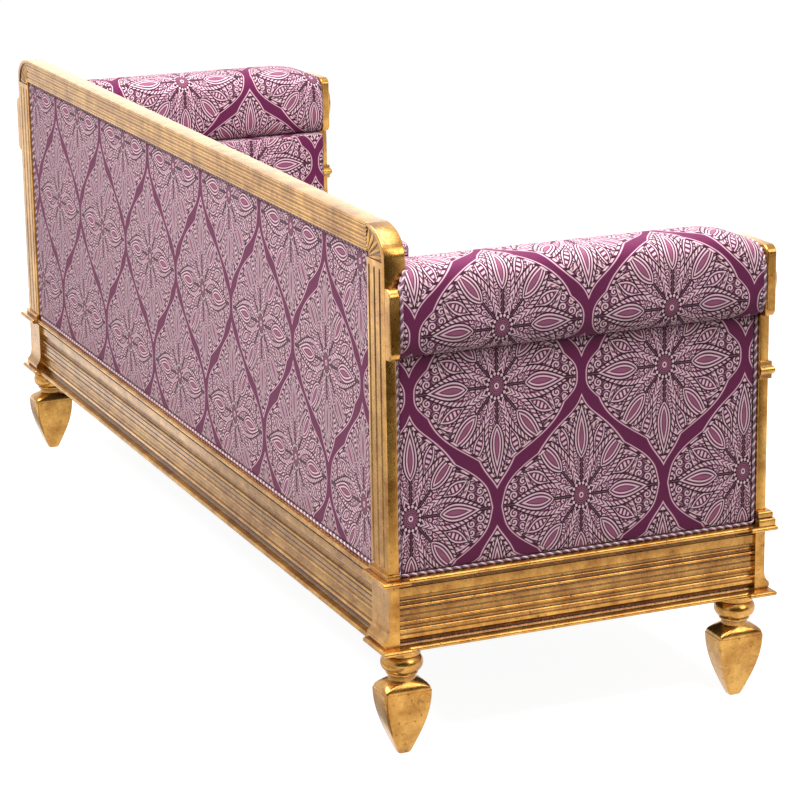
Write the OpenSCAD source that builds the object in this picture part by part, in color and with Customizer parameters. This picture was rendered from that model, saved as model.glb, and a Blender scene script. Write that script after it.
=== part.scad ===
// Recamier: a long backed seat with two level padded arms, in carved gilt wood and figured fabric.
// The front is at -Y, the left end at -X, and z = 0 is the floor under the middle of the seat.
// Most pieces are drawn once, for the corner at +X +Y, and mirrored to the other corners.

/* [Overall] */
// Length over the lips of the base
length = 2050; // [1600:10:2600]
// Depth over the lips of the base
depth = 715; // [600:5:900]
// Height of the crest rail's top
height = 869; // [830:1:1060]

/* [Base] */
// Height of a foot, floor to the underside of the base
foot_h = 180; // [140:1:230]
// Height of the moulded base, lips included
base_h = 124; // [100:1:160]
// Thickness of each half-round lip
lip_t = 9; // [7:0.5:12]
// Reach of a corner block's lip beyond the block
lip_reach = 16; // [12:0.5:22]
// Distance of a rail's face behind the corner blocks' faces
rail_set = 8; // [5:0.5:12]
// Reach of a rail's lip beyond the rail's face
rail_lip_reach = 13; // [10:0.5:18]
// Thickness of the base rails
rail_t = 28; // [22:1:36]

/* [Posts] */
// Width of a post, along the length of the seat
post_w = 71; // [60:1:90]
// Thickness of a post's face board
post_t = 18; // [15:0.5:24]
// Width and depth of the square stile behind each post's face board
stile_w = 40; // [30:1:48]
// Width of one flute on a back post
flute_w = 7; // [4:0.5:9]

/* [Arms] */
// Width of an arm, its outer post face to its inner padded face
arm_w = 104; // [95:1:125]
// Height of an arm's panels, base top to the underside of the padded roll
arm_panel_h = 360; // [300:1:432]
// Height of the padded roll
roll_h = 146; // [120:1:176]
// Height of the block that closes the roll's front end
arm_block_h = 120; // [100:1:144]
// Reach of the blocks and ears beyond the posts
ear_reach = 20; // [15:1:24]
// Height of an ear on a back post
ear_h = 115; // [95:1:138]

/* [Back] */
// Height of the crest rail
crest_h = 45; // [38:1:54]
// Thickness of the crest rail, and of the back posts' heads
crest_t = 35.5; // [30:0.5:44]
// Thickness of the inside back pad
back_pad_t = 45; // [35:1:60]

/* [Seat] */
// Thickness of the padded seat deck
deck_t = 20; // [15:1:30]
// Height of the loose cushion's boxed side
cushion_h = 118; // [95:1:142]
// Rise of the cushion's crown above its side
crown_h = 12; // [8:1:18]

/* [Hidden] */

gilt = "goldenrod";
frame_wood = "burlywood";
cloth = "plum";
cloth_dark = "mediumorchid";
steel = "silver";

// Clearances: a fitted pair's gap, the gap round the loose cushion, and how far a cut runs past
fit_gap = 0.3;
cushion_gap = 3;
past = 1;

// Faces of the corner posts and of the rails, at the corner at +X +Y
post_x = length/2 - lip_reach;
post_y = depth/2 - lip_reach;
post_in_x = post_x - post_w;
post_back_y = post_y - post_t;
rail_x = post_x - rail_set;
rail_y = post_y - rail_set;
rail_in_x = rail_x - rail_t;
rail_in_y = rail_y - rail_t;
base_top = foot_h + base_h;

// Corner blocks: the lips' runs past the block, the mouldings, and the core behind the face board
lip_run_x = 4;
lip_run_y = 15;
torus_r = 10;
torus_share = 0.8;
top_cove = 8;
core_l = 61;
rail_web = 8;
core_x = rail_x - rail_web - fit_gap;
core_y = post_back_y - core_l;

// Rail mouldings, bottom to top: places are shares of the base's height, reliefs are radii
bead_r = 2.4;
groove_r = 1.1;
cove_r = 7;
cove_out = 3.5;
rail_bead_shares = [0.385, 0.6];
rail_groove_shares = [0.49, 0.573, 0.63, 0.714, 0.885];
rail_cove_shares = [0.117, 0.3];
rail_band_shares = [[0.172, 0.222], [0.74, 0.86]];
band_out = 1.6;

// Feet: turned collar above a block that tapers in both directions
foot_in_x = 27;
foot_in_rear = 31.5;
foot_in_front = 41;
collar_r = 35;
collar_core_r = 13;
collar_half_h = 19;
ring_r = 31;
ring_h = 9;
small_bead_r = 3;
neck_r = 22;
neck_share = 0.705;
shoulder_share = 0.627;
foot_half_x = 29;
foot_half_y = 41.5;
toe_half_x = 8;
toe_half_y = 10;
foot_steps = 10;
bell_steps = 4;
foot_x = post_x - foot_in_x;
collar_share = 0.75;
neck_bead_share = 0.9;
neck_bead_sunk = 1.5;

// Bolts
bolt_r = 4;
bolt_gap = 0.15;
foot_bolt_down = 50;
foot_bolt_up = 35;
brace_bolt_l = 70;
bolt_head_r = 7;
bolt_head_h = 5;

// Corner braces
brace_leg = 115;
brace_t = 30;
brace_share = 0.44;
brace_z = foot_h + base_h*brace_share;

// Posts: feet of the posts, flutes, fan, ring, blocks and rosettes
back_step_out = 5;
back_step_h = 9;
front_step_out = 12.5;
front_step_h = 14;
front_step2_out = 9.5;
front_step2_h = 12;
flute_deep = 2.5;
flute_low = 14;
flute_high = 18;
flute_x_shares = [0.26, 0.555, 0.85];
fan_drop = 8;
fan_edge = 9;
fan_top_edge = 5;
fan_deep = 2.4;
petal_rise = 1.9;
petals = 5;
petal_turn = 90/petals;
petal_wide = 14.8;
petal_root_share = 0.16;
petal_tip_share = 0.95;
petal_side_share = 0.83;
lobe_drop = 50;
lobe_round = 25;
lobe_toe = 3.5;
ring_share = 0.742;
ring_z = base_top + arm_panel_h*ring_share;
ring_fillet = 4;
ring_half = 15;
ring_bead_r = 8.5;
block_round = 14;
rosette_r = 46;
rosette_t = 8;
rosette_boss_r = 13;
rosette_boss_t = 14;
rosette_hollow_share = 0.66;

// Levels and inner faces
arm_top_z = base_top + arm_panel_h;
crest_z = height - crest_h;
crest_in_y = post_y - crest_t;
stile_lap = 12;
stile_in_x = rail_in_x + stile_lap - stile_w;
stile_in_y = post_back_y - stile_w;
arm_in_x = post_x - arm_w;
frame_t = 36;
panel_set = 3.5;
panel_t = post_t - panel_set;
back_frame_y = post_back_y - frame_t;
frame_rail_h = 50;
arm_rail_h = 40;
upright_w = 60;
upright_share = 0.335;
deck_z = base_top + deck_t;
stretcher_w = 45;
stretcher_h = 80;
stretcher_x_share = 0.33;
stretcher_low = 12;

// Crest rail's reeds
crest_flute_r = 1.9;
crest_line_r = 0.9;
crest_flute_shares = [0.22, 0.5, 0.78];
crest_line_shares = [0.1, 0.36, 0.64, 0.9];

// Upholstery
arm_board_t = 20;
pipe_r = 3;
pad_round = 10;
pad_crown = 8;
side_pull = 5;
edge_share = 0.3;
waist_share = 0.25;
roll_drop_l = 95;
crown_ring_shares = [0.86, 0.62, 0.34];
pad_corner = 26;
corner_steps = 4;
side_points = 5;
roll_points = 40;
roll_power = 3.4;
roll_sink = 4;
roll_station_shares = [0, 0.2, 0.45, 0.7, 0.85, 0.94, 1];
web_w = 55;
web_t = 2;
web_cross = 15;
web_long = 4;
dust_t = 1.2;
cover_t = 2;

// Points on an arc of an ellipse
function arc(cx, cy, rx, ry, from, to, steps) =
    [for (i = [0:steps]) let (a = from + (to - from)*i/steps) [cx + rx*cos(a), cy + ry*sin(a)]];

function sign_pow(v, p) = sign(v)*pow(abs(v), p);

// One corner of a plan outline and the side that follows it, anticlockwise
function plan_corner(hx, hy, r, sx, sy, from) = concat(
    arc(sx*(hx - r), sy*(hy - r), r, r, from, from + 90, corner_steps),
    [for (i = [1:side_points]) let (t = 1 - 2*i/(side_points + 1))
        sx*sy > 0 ? [sx*(hx - r)*t, sy*hy] : [sx*hx, sy*(hy - r)*t]]);

// A plan outline: a round-cornered rectangle whose sides are drawn in between the corners
function plan(hx, hy, pull, z) =
    let (r = min(pad_corner, hy/3), outline = concat(
        plan_corner(hx, hy, r, 1, 1, 0), plan_corner(hx, hy, r, -1, 1, 90),
        plan_corner(hx, hy, r, -1, -1, 180), plan_corner(hx, hy, r, 1, -1, 270)))
    [for (p = outline) let (u = p[0]/hx, v = p[1]/hy)
        [p[0] - u*pull*(1 - v*v), p[1] - v*pull*(1 - u*u), z]];

// Outlines of a boxed pad from its flat face up to its crown
function pad_rings(hx, hy, h, crown, edge, pull) = concat(
    [plan(hx - edge, hy - edge, pull, 0),
     plan(hx - edge*edge_share, hy - edge*edge_share, pull, edge*edge_share),
     plan(hx, hy, pull, edge),
     plan(hx - edge*waist_share, hy - edge*waist_share, pull, h/2),
     plan(hx, hy, pull, h - edge),
     plan(hx - edge*edge_share, hy - edge*edge_share, pull, h - edge*edge_share),
     plan(hx - edge, hy - edge, pull, h)],
    [for (s = crown_ring_shares) plan((hx - edge)*s, (hy - edge)*s, pull*s, h + crown*(1 - s*s))]);

// Skins a list of outlines that have the same number of points, and closes both ends
module skin(rings, low, high) {
    n = len(rings[0]);
    m = len(rings);
    points = concat([for (r = rings) each r], [low, high]);
    sides = [for (j = [0:m - 2], i = [0:n - 1])
        let (a = j*n + i, b = j*n + (i + 1)%n) each [[a, a + n, b], [b, a + n, b + n]]];
    floor_faces = [for (i = [0:n - 1]) [n*m, i, (i + 1)%n]];
    roof_faces = [for (i = [0:n - 1]) [n*m + 1, (m - 1)*n + (i + 1)%n, (m - 1)*n + i]];
    polyhedron(points = points, faces = concat(sides, floor_faces, roof_faces), convexity = 4);
}

module pad(hx, hy, h, crown, edge, pull) {
    skin(pad_rings(hx, hy, h, crown, edge, pull), [0, 0, 0], [0, 0, h + crown]);
}

// Mirrors a piece of the corner at +X +Y to another corner
module corner(sx, sy) {
    mirror([sx < 0 ? 1 : 0, 0, 0]) mirror([0, sy < 0 ? 1 : 0, 0]) children();
}

// Runs a flat outline along X, its own x and y becoming Y and Z
module run_x(from, to) {
    translate([from, 0, 0]) rotate([90, 0, 90]) linear_extrude(height = to - from) children();
}

// Runs a flat outline along Y, its own x and y becoming X and Z
module run_y(from, to) {
    translate([0, to, 0]) rotate([90, 0, 0]) linear_extrude(height = to - from) children();
}

module box(low, high) {
    translate(low) cube(high - low);
}

// Outline of a half-round lip that ends at a given reach
module lip_outline(from, reach, z) {
    translate([from, z]) square([reach - lip_t/2 - from, lip_t]);
    translate([reach - lip_t/2, z + lip_t/2]) circle(r = lip_t/2, $fn = 24);
}

// One lip of a corner block, mitred at its corner
module corner_lip(z) {
    low_x = post_in_x - lip_run_x;
    low_y = post_back_y - lip_run_y;
    tip_x = post_x + lip_reach;
    tip_y = post_y + lip_reach;
    difference() {
        intersection() {
            run_x(low_x, tip_x) lip_outline(low_y, tip_y, z);
            run_y(low_y, tip_y) lip_outline(low_x, tip_x, z);
        }
        box([low_x - past, low_y - past, z - past], [rail_x, rail_y, z + lip_t + past]);
    }
}

// Outline of a corner block's face: flat, with a cove under the top lip and a torus over the foot lip
module block_outline(face, back) {
    high = base_top - lip_t;
    translate([face - back, foot_h]) square([back, base_h]);
    translate([face, foot_h + lip_t + torus_r*torus_share]) circle(r = torus_r, $fn = 32);
    difference() {
        translate([face, high - top_cove]) square(top_cove);
        translate([face + top_cove, high - top_cove]) circle(r = top_cove, $fn = 32);
    }
}

// Centre of a foot behind the front post's face, or in front of the back post's face
function foot_y(sy) = post_y - (sy < 0 ? foot_in_front : foot_in_rear);

module bolt_hole(sy, r, from, to) {
    translate([foot_x, foot_y(sy), from]) cylinder(r = r, h = to - from, $fn = 32);
}

// Puts a child on the brace bolt's line, its z running from the brace's face into the block
module brace_axis() {
    middle = [rail_in_x - brace_leg/2, rail_in_y - brace_leg/2, brace_z + brace_t/2];
    translate(middle) rotate([0, 0, 45]) rotate([0, 90, 0]) children();
}

module corner_block(sy) {
    color(gilt) difference() {
        union() {
            run_x(post_in_x, post_x) block_outline(post_y, post_t);
            box([post_in_x, core_y, foot_h], [core_x, post_back_y, base_top]);
            corner_lip(foot_h);
            corner_lip(base_top - lip_t);
        }
        bolt_hole(sy, bolt_r + bolt_gap, foot_h - past, foot_h + foot_bolt_up + past);
        brace_axis() cylinder(r = bolt_r + bolt_gap, h = brace_bolt_l + past, $fn = 32);
    }
}

// Outline of a base rail without its lips; its own x points out of the face
module rail_outline() {
    difference() {
        union() {
            translate([-rail_t, foot_h]) square([rail_t, base_h]);
            for (s = rail_bead_shares) translate([0, foot_h + base_h*s]) circle(r = bead_r, $fn = 20);
            for (b = rail_band_shares)
                translate([0, foot_h + base_h*b[0]]) square([band_out, base_h*(b[1] - b[0])]);
        }
        for (s = rail_groove_shares) translate([0, foot_h + base_h*s]) circle(r = groove_r, $fn = 16);
        for (s = rail_cove_shares) translate([cove_out, foot_h + base_h*s]) circle(r = cove_r, $fn = 32);
    }
}

module rail_lips() {
    lip_outline(-past, rail_lip_reach, foot_h);
    lip_outline(-past, rail_lip_reach, base_top - lip_t);
}

module long_rail() {
    color(gilt) {
        run_x(-post_in_x, post_in_x) translate([rail_y, 0]) rail_outline();
        run_x(lip_run_x - post_in_x, post_in_x - lip_run_x) translate([rail_y, 0]) rail_lips();
    }
}

module end_rail() {
    low = core_y - fit_gap;
    color(gilt) difference() {
        union() {
            run_y(-post_back_y, post_back_y) translate([rail_x, 0]) rail_outline();
            run_y(lip_run_y - post_back_y, post_back_y - lip_run_y) translate([rail_x, 0]) rail_lips();
        }
        for (s = [-1, 1]) corner(1, s)
            box([rail_in_x - past, low, foot_h - past], [rail_x - rail_web, post_y, base_top + past]);
    }
}

// Outline of half a foot seen from one side: a domed shoulder over a taper that ends at the toe
module foot_outline(half, toe) {
    shoulder_z = foot_h*shoulder_share;
    neck_z = foot_h*neck_share;
    taper = [for (i = [0:foot_steps])
        [toe + (half - toe)*cos(90*(1 - i/foot_steps)), shoulder_z*i/foot_steps]];
    bell = [for (i = [1:bell_steps])
        [neck_r + (half - neck_r)*cos(90*i/bell_steps), shoulder_z + (neck_z - shoulder_z)*i/bell_steps]];
    right = concat(taper, bell);
    left = [for (i = [len(right) - 1:-1:0]) [-right[i][0], right[i][1]]];
    polygon(concat(right, left));
}

module foot(sy) {
    collar_z = foot_h - ring_h - collar_half_h*collar_share;
    neck_z = foot_h*neck_share;
    bead_z = collar_z - collar_half_h*neck_bead_share;
    color(gilt) difference() {
        translate([foot_x, foot_y(sy), 0]) union() {
            intersection() {
                run_x(-foot_half_x, foot_half_x) foot_outline(foot_half_y, toe_half_y);
                run_y(-foot_half_y, foot_half_y) foot_outline(foot_half_x, toe_half_x);
            }
            rotate_extrude($fn = 48) union() {
                translate([0, neck_z]) square([neck_r, foot_h - neck_z]);
                translate([0, foot_h - ring_h]) square([ring_r, ring_h]);
                translate([neck_r + neck_bead_sunk, bead_z]) circle(r = small_bead_r, $fn = 16);
                polygon(concat([[0, collar_z - collar_half_h]],
                    arc(collar_core_r, collar_z, collar_r - collar_core_r, collar_half_h, -90, 90, 14),
                    [[0, collar_z + collar_half_h]]));
            }
        }
        bolt_hole(sy, bolt_r + bolt_gap, foot_h - foot_bolt_down - past, foot_h + past);
    }
}

module foot_bolts() {
    color(steel) for (sx = [-1, 1], sy = [-1, 1]) corner(sx, sy)
        bolt_hole(sy, bolt_r, foot_h - foot_bolt_down, foot_h + foot_bolt_up);
}

module corner_brace() {
    outline = [
        [rail_in_x - brace_leg, rail_in_y], [post_in_x, rail_in_y], [post_in_x, core_y],
        [rail_in_x, core_y], [rail_in_x, rail_in_y - brace_leg]
    ];
    color(frame_wood) difference() {
        translate([0, 0, brace_z]) linear_extrude(height = brace_t) polygon(outline);
        brace_axis() translate([0, 0, -past])
            cylinder(r = bolt_r + bolt_gap, h = brace_bolt_l, $fn = 32);
    }
}

module brace_bolts() {
    color(steel) for (sx = [-1, 1], sy = [-1, 1]) corner(sx, sy) brace_axis() {
        cylinder(r = bolt_r, h = brace_bolt_l, $fn = 32);
        translate([0, 0, -bolt_head_h]) cylinder(r = bolt_head_r, h = bolt_head_h, $fn = 6);
    }
}

module seat_stretcher() {
    x = length*stretcher_x_share/2;
    z = foot_h + stretcher_low;
    color(frame_wood) box([x, -rail_in_y, z], [x + stretcher_w, rail_in_y, z + stretcher_h]);
}

// Elastic straps: front to back at the rails' top, and end to end just under them
module seat_webbing() {
    span_x = 2*post_in_x;
    span_y = 2*core_y;
    color(frame_wood) {
        for (i = [0:web_cross - 1]) {
            x = span_x*((i + 0.5)/web_cross - 0.5);
            box([x - web_w/2, -rail_in_y, base_top - web_t], [x + web_w/2, rail_in_y, base_top]);
        }
        for (i = [0:web_long - 1]) {
            y = span_y*((i + 0.5)/web_long - 0.5);
            box([-rail_in_x, y - web_w/2, base_top - 2*web_t], [rail_in_x, y + web_w/2, base_top - web_t]);
        }
    }
}

module seat_deck() {
    x = arm_in_x - fit_gap;
    color(cloth) box([-x, -rail_y, base_top], [x, back_frame_y - fit_gap, deck_z]);
}

module dust_cover() {
    clear = collar_r + cushion_gap;
    x = rail_in_x + rail_t/2;
    y = rail_in_y + rail_t/2;
    color("dimgray") {
        box([clear - foot_x, -y, foot_h - dust_t], [foot_x - clear, y, foot_h]);
        box([-x, clear - foot_y(-1), foot_h - dust_t], [x, foot_y(1) - clear, foot_h]);
    }
}

// Outline of a back post seen from behind: its outer top corner is rounded over
module back_post_outline() {
    polygon(concat([[post_in_x, base_top], [post_x, base_top]],
        arc(post_in_x, crest_z, post_w, crest_h, 0, 90, 12)));
    translate([post_in_x, base_top]) square([post_w + back_step_out, back_step_h]);
}

// Outline of a back post seen from its end: a thin board whose head swells forward
module back_post_side() {
    toe_y = post_back_y + lobe_toe;
    lobe_z = crest_z - lobe_drop;
    translate([post_back_y, base_top]) square([post_t, height - base_top]);
    translate([post_back_y, base_top]) square([post_t + back_step_out, back_step_h]);
    polygon(concat([[post_y, height], [post_y, lobe_z]],
        arc(toe_y, lobe_z + lobe_round, toe_y - crest_in_y, lobe_round, 270, 180, 10),
        [[crest_in_y, height]]));
}

module stile() {
    box([stile_in_x, stile_in_y, base_top], [stile_in_x + stile_w, post_back_y, arm_top_z]);
}

// Puts a flat outline drawn in X and Z on the back post's rear face, from in to out of it
module on_rear(in, out) {
    run_y(post_y - in, post_y + out) children();
}

function fan_point(s, a) = [
    post_in_x + s*(post_w - fan_edge)*cos(a),
    crest_z - fan_drop + s*(crest_h + fan_drop - fan_top_edge)*sin(a)
];

// One petal of the fan: it widens outwards and ends in a round tip
module petal(a, wide) {
    round_share = petal_tip_share - petal_side_share;
    tip = [for (i = [0:6]) let (u = i/3 - 1) fan_point(petal_tip_share - round_share*u*u, a + wide*u/2)];
    polygon(concat([fan_point(petal_root_share, a)], tip));
}

module fan_recess() {
    polygon(concat([fan_point(0, 0)], [for (i = [0:10]) fan_point(1, 9*i)]));
}

module back_post() {
    flute_top = crest_z - flute_high;
    flute_bottom = base_top + flute_low;
    color(gilt) {
        difference() {
            union() {
                intersection() {
                    run_x(post_in_x, post_x + back_step_out) back_post_side();
                    run_y(crest_in_y, post_y + back_step_out) back_post_outline();
                }
                stile();
            }
            for (s = flute_x_shares)
                translate([post_x - post_w*s, post_y + flute_w/2 - flute_deep, flute_bottom])
                    cylinder(r = flute_w/2, h = flute_top - flute_bottom, $fn = 24);
            on_rear(fan_deep, past) fan_recess();
        }
        for (i = [0:petals - 1]) on_rear(fan_deep, petal_rise - fan_deep)
            petal((i + 1/2)*petal_turn, petal_wide);
    }
}

// Outline of an ear: a block with round outer corners, from the post's edge outwards
module arm_ear() {
    z = arm_top_z;
    x = post_x + ear_reach;
    color(gilt) run_y(post_back_y, post_y) polygon(concat(
        [[post_x, z]],
        arc(x - block_round, z + block_round, block_round, block_round, 270, 360, 8),
        arc(x - block_round, z + ear_h - block_round, block_round, block_round, 0, 90, 8),
        [[post_x, z + ear_h]]));
}

// Outline of a front post's foot seen from one side: a step under a bead
module step_outline(face, back) {
    bead_z = base_top + front_step_h;
    flat = front_step2_out - front_step2_h/2;
    translate([face - back, base_top]) square([back + front_step_out, front_step_h]);
    translate([face - back, bead_z]) square([back + flat, front_step2_h]);
    translate([face + flat, bead_z + front_step2_h/2]) circle(r = front_step2_h/2, $fn = 24);
}

module front_post() {
    color(gilt) {
        box([post_in_x, post_back_y, base_top], [post_x, post_y, arm_top_z]);
        stile();
        intersection() {
            run_x(post_in_x, post_x + front_step_out) step_outline(post_y, post_t);
            run_y(post_back_y, post_y + front_step_out) step_outline(post_x, post_w);
        }
    }
}

// Outline of the ring moulding in front of a face: a bead between two fillets
module ring_outline(face, back) {
    translate([face - back, ring_z - ring_half]) square([back + ring_fillet, 2*ring_half]);
    translate([face, ring_z]) circle(r = ring_bead_r, $fn = 24);
    translate([face - back, ring_z - ring_bead_r]) square([back, 2*ring_bead_r]);
}

module post_ring() {
    middle = post_x - post_w/2;
    out = ring_bead_r + past;
    color(gilt) difference() {
        intersection() {
            run_x(post_in_x - out, post_x + out) ring_outline(post_y, post_t);
            run_y(post_back_y, post_y + out) union() {
                translate([middle, 0]) ring_outline(post_w/2, post_w/2);
                translate([middle, 0]) mirror([1, 0]) ring_outline(post_w/2, post_w/2);
            }
        }
        box([post_in_x, post_back_y - past, arm_top_z - arm_panel_h], [post_x, post_y, arm_top_z]);
    }
}

module arm_block() {
    half = post_w/2 + ear_reach;
    x = post_x - post_w/2;
    r = block_round;
    z = arm_top_z;
    color(gilt) run_y(post_back_y, post_y) polygon(concat(
        arc(x - half + r, z + r, r, r, 180, 270, 8),
        arc(x + half - r, z + r, r, r, 270, 360, 8),
        arc(x + half - r, z + arm_block_h - r, r, r, 0, 90, 8),
        arc(x - half + r, z + arm_block_h - r, r, r, 90, 180, 8)));
}

// Turned rosette: a rim bead, a hollow and a domed boss
module rosette() {
    rim = rosette_t/2;
    hollow = rosette_r - 2*rim - rosette_boss_r;
    color(gilt) translate([post_x - post_w/2, post_y, arm_top_z + arm_block_h/2]) rotate([-90, 0, 0])
        rotate_extrude($fn = 48) difference() {
            union() {
                square([rosette_r - rim, rosette_t]);
                translate([rosette_r - rim, rim]) circle(r = rim, $fn = 20);
                translate([rosette_r - rim, 0]) square([rim, rim]);
                polygon(concat([[0, 0]], arc(0, 0, rosette_boss_r, rosette_boss_t, 0, 90, 8)));
            }
            translate([rosette_boss_r + hollow/2, rosette_t + hollow/2])
                circle(r = hollow*rosette_hollow_share, $fn = 32);
            translate([-rosette_r, -rosette_r]) square([rosette_r, 2*rosette_r]);
        }
}

// Crest rail: reeded behind and in front, between the heads of the back posts
module crest_rail() {
    color(gilt) run_x(-post_in_x, post_in_x) difference() {
        translate([crest_in_y, crest_z]) square([crest_t, crest_h]);
        for (y = [crest_in_y, post_y]) {
            for (s = crest_flute_shares)
                translate([y, crest_z + crest_h*s]) circle(r = crest_flute_r, $fn = 16);
            for (s = crest_line_shares)
                translate([y, crest_z + crest_h*s]) circle(r = crest_line_r, $fn = 12);
        }
    }
}

module back_top_rail() {
    z = crest_z - arm_rail_h;
    color(frame_wood) box([-post_in_x, back_frame_y, z], [post_in_x, post_back_y, crest_z]);
}

module back_lower_rail() {
    color(frame_wood) box([-stile_in_x, back_frame_y, base_top],
        [stile_in_x, post_back_y, base_top + frame_rail_h]);
}

module back_upright() {
    x = post_in_x*upright_share;
    color(frame_wood) box([x, back_frame_y, base_top + frame_rail_h],
        [x + upright_w, post_back_y, crest_z - arm_rail_h]);
}

module arm_rail(z) {
    color(frame_wood) box([stile_in_x, -stile_in_y, z], [stile_in_x + stile_w, stile_in_y, z + arm_rail_h]);
}

module outside_back() {
    x = post_in_x - 2*pipe_r;
    color(cloth) box([-x, post_back_y, base_top + 2*pipe_r], [x, post_back_y + panel_t, crest_z - 2*pipe_r]);
}

module inside_back() {
    x = arm_in_x - fit_gap;
    low = deck_z + fit_gap;
    half_z = (crest_z - low)/2;
    color(cloth) translate([0, back_frame_y, low + half_z]) rotate([90, 0, 0])
        pad(x, half_z, back_pad_t - pad_crown, pad_crown, pad_round, 0);
}

module outside_arm() {
    x = stile_in_x + stile_w;
    y = post_back_y - 2*pipe_r;
    color(cloth) box([x, -y, base_top + 2*pipe_r], [x + arm_board_t, y, arm_top_z - 2*pipe_r]);
}

module inside_arm() {
    y = back_frame_y - fit_gap;
    color(cloth) box([arm_in_x, -post_back_y, base_top], [stile_in_x, y, arm_top_z - fit_gap]);
}

function roll_height(y) =
    let (over = max(0, (-y - post_back_y + roll_drop_l)/roll_drop_l))
    roll_h - (roll_h - arm_block_h)*over*over;

// One outline of the roll: a round-cornered oblong, sunk so that it has a flat seat on the arm
function roll_ring(y) =
    let (hx = (post_x + ear_reach - arm_in_x)/2, h = roll_height(y) + roll_sink)
    [for (i = [0:roll_points - 1]) let (a = 360*i/roll_points)
        [arm_in_x + hx + hx*sign_pow(cos(a), 2/roll_power), y,
         arm_top_z - roll_sink + h/2 + h/2*sign_pow(sin(a), 2/roll_power)]];

module arm_roll() {
    low = -post_back_y;
    span = 2*post_back_y;
    rings = [for (s = roll_station_shares) roll_ring(post_back_y - span*s)];
    middle = (post_x + ear_reach + arm_in_x)/2;
    color(cloth_dark) difference() {
        skin(rings, [middle, post_back_y, arm_top_z + roll_h/2], [middle, low, arm_top_z + arm_block_h/2]);
        box([0, -depth, 0], [length, depth, arm_top_z]);
        box([0, back_frame_y - fit_gap, 0], [post_in_x + fit_gap, depth, height]);
        box([0, crest_in_y - fit_gap, crest_z - lobe_drop - fit_gap], [post_x + fit_gap, depth, height]);
    }
}

module back_piping() {
    x = post_in_x - pipe_r;
    y = post_back_y + panel_t - pipe_r;
    low = base_top + pipe_r;
    high = crest_z - pipe_r;
    color(cloth_dark) {
        for (s = [-1, 1]) translate([s*x, y, base_top])
            cylinder(r = pipe_r, h = crest_z - base_top, $fn = 16);
        for (z = [low, high]) translate([pipe_r - x, y, z]) rotate([0, 90, 0])
            cylinder(r = pipe_r, h = 2*(x - pipe_r), $fn = 16);
    }
}

module arm_piping() {
    x = stile_in_x + stile_w + arm_board_t - pipe_r;
    y = post_back_y - pipe_r;
    color(cloth_dark) {
        for (s = [-1, 1]) translate([x, s*y, base_top])
            cylinder(r = pipe_r, h = arm_panel_h - fit_gap, $fn = 16);
        translate([x, y - pipe_r, base_top + pipe_r]) rotate([90, 0, 0])
            cylinder(r = pipe_r, h = 2*(y - pipe_r), $fn = 16);
    }
}

// The loose cushion's place, between the arms and in front of the inside back
cushion_x = arm_in_x - cushion_gap;
cushion_back_y = back_frame_y - back_pad_t - cushion_gap;
cushion_half_y = (cushion_back_y + rail_y)/2;
cushion_y = cushion_back_y - cushion_half_y;

module seat_cushion_cover() {
    w = cover_t;
    color(cloth) translate([0, cushion_y, deck_z + fit_gap]) difference() {
        pad(cushion_x, cushion_half_y, cushion_h, crown_h, pad_round, side_pull);
        translate([0, 0, w])
            pad(cushion_x - w, cushion_half_y - w, cushion_h - 2*w, crown_h, pad_round, side_pull);
    }
}

module seat_cushion_core() {
    w = cover_t + fit_gap;
    color("ivory") translate([0, cushion_y, deck_z + fit_gap + w])
        pad(cushion_x - w, cushion_half_y - w, cushion_h - 2*w, crown_h, pad_round, side_pull);
}

corner(1, -1) long_rail();  // base_rail_front
long_rail();  // base_rail_rear
corner(-1, 1) end_rail();  // base_rail_left
end_rail();  // base_rail_right
corner(-1, -1) corner_block(-1);  // corner_block_front_left
corner(1, -1) corner_block(-1);  // corner_block_front_right
corner(-1, 1) corner_block(1);  // corner_block_rear_left
corner_block(1);  // corner_block_rear_right
corner(-1, -1) foot(-1);  // foot_front_left
corner(1, -1) foot(-1);  // foot_front_right
corner(-1, 1) foot(1);  // foot_rear_left
foot(1);  // foot_rear_right
foot_bolts();
corner(-1, -1) corner_brace();  // corner_brace_front_left
corner(1, -1) corner_brace();  // corner_brace_front_right
corner(-1, 1) corner_brace();  // corner_brace_rear_left
corner_brace();  // corner_brace_rear_right
brace_bolts();
corner(-1, 1) seat_stretcher();  // seat_stretcher_left
seat_stretcher();  // seat_stretcher_right
seat_webbing();
seat_deck();
dust_cover();
corner(-1, 1) back_post();  // back_post_left
back_post();  // back_post_right
corner(-1, 1) arm_ear();  // arm_ear_left
arm_ear();  // arm_ear_right
corner(-1, -1) front_post();  // front_post_left
corner(1, -1) front_post();  // front_post_right
corner(-1, -1) post_ring();  // post_ring_left
corner(1, -1) post_ring();  // post_ring_right
corner(-1, -1) arm_block();  // arm_block_left
corner(1, -1) arm_block();  // arm_block_right
corner(-1, -1) rosette();  // rosette_left
corner(1, -1) rosette();  // rosette_right
crest_rail();
back_top_rail();
back_lower_rail();
corner(-1, 1) back_upright();  // back_upright_left
back_upright();  // back_upright_right
corner(-1, 1) arm_rail(arm_top_z - arm_rail_h);  // arm_top_rail_left
arm_rail(arm_top_z - arm_rail_h);  // arm_top_rail_right
corner(-1, 1) arm_rail(base_top);  // arm_lower_rail_left
arm_rail(base_top);  // arm_lower_rail_right
outside_back();
inside_back();
corner(-1, 1) outside_arm();  // outside_arm_left
outside_arm();  // outside_arm_right
corner(-1, 1) inside_arm();  // inside_arm_left
inside_arm();  // inside_arm_right
corner(-1, 1) arm_roll();  // arm_roll_left
arm_roll();  // arm_roll_right
back_piping();
corner(-1, 1) arm_piping();  // arm_piping_left
arm_piping();  // arm_piping_right
seat_cushion_cover();
seat_cushion_core();
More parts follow.
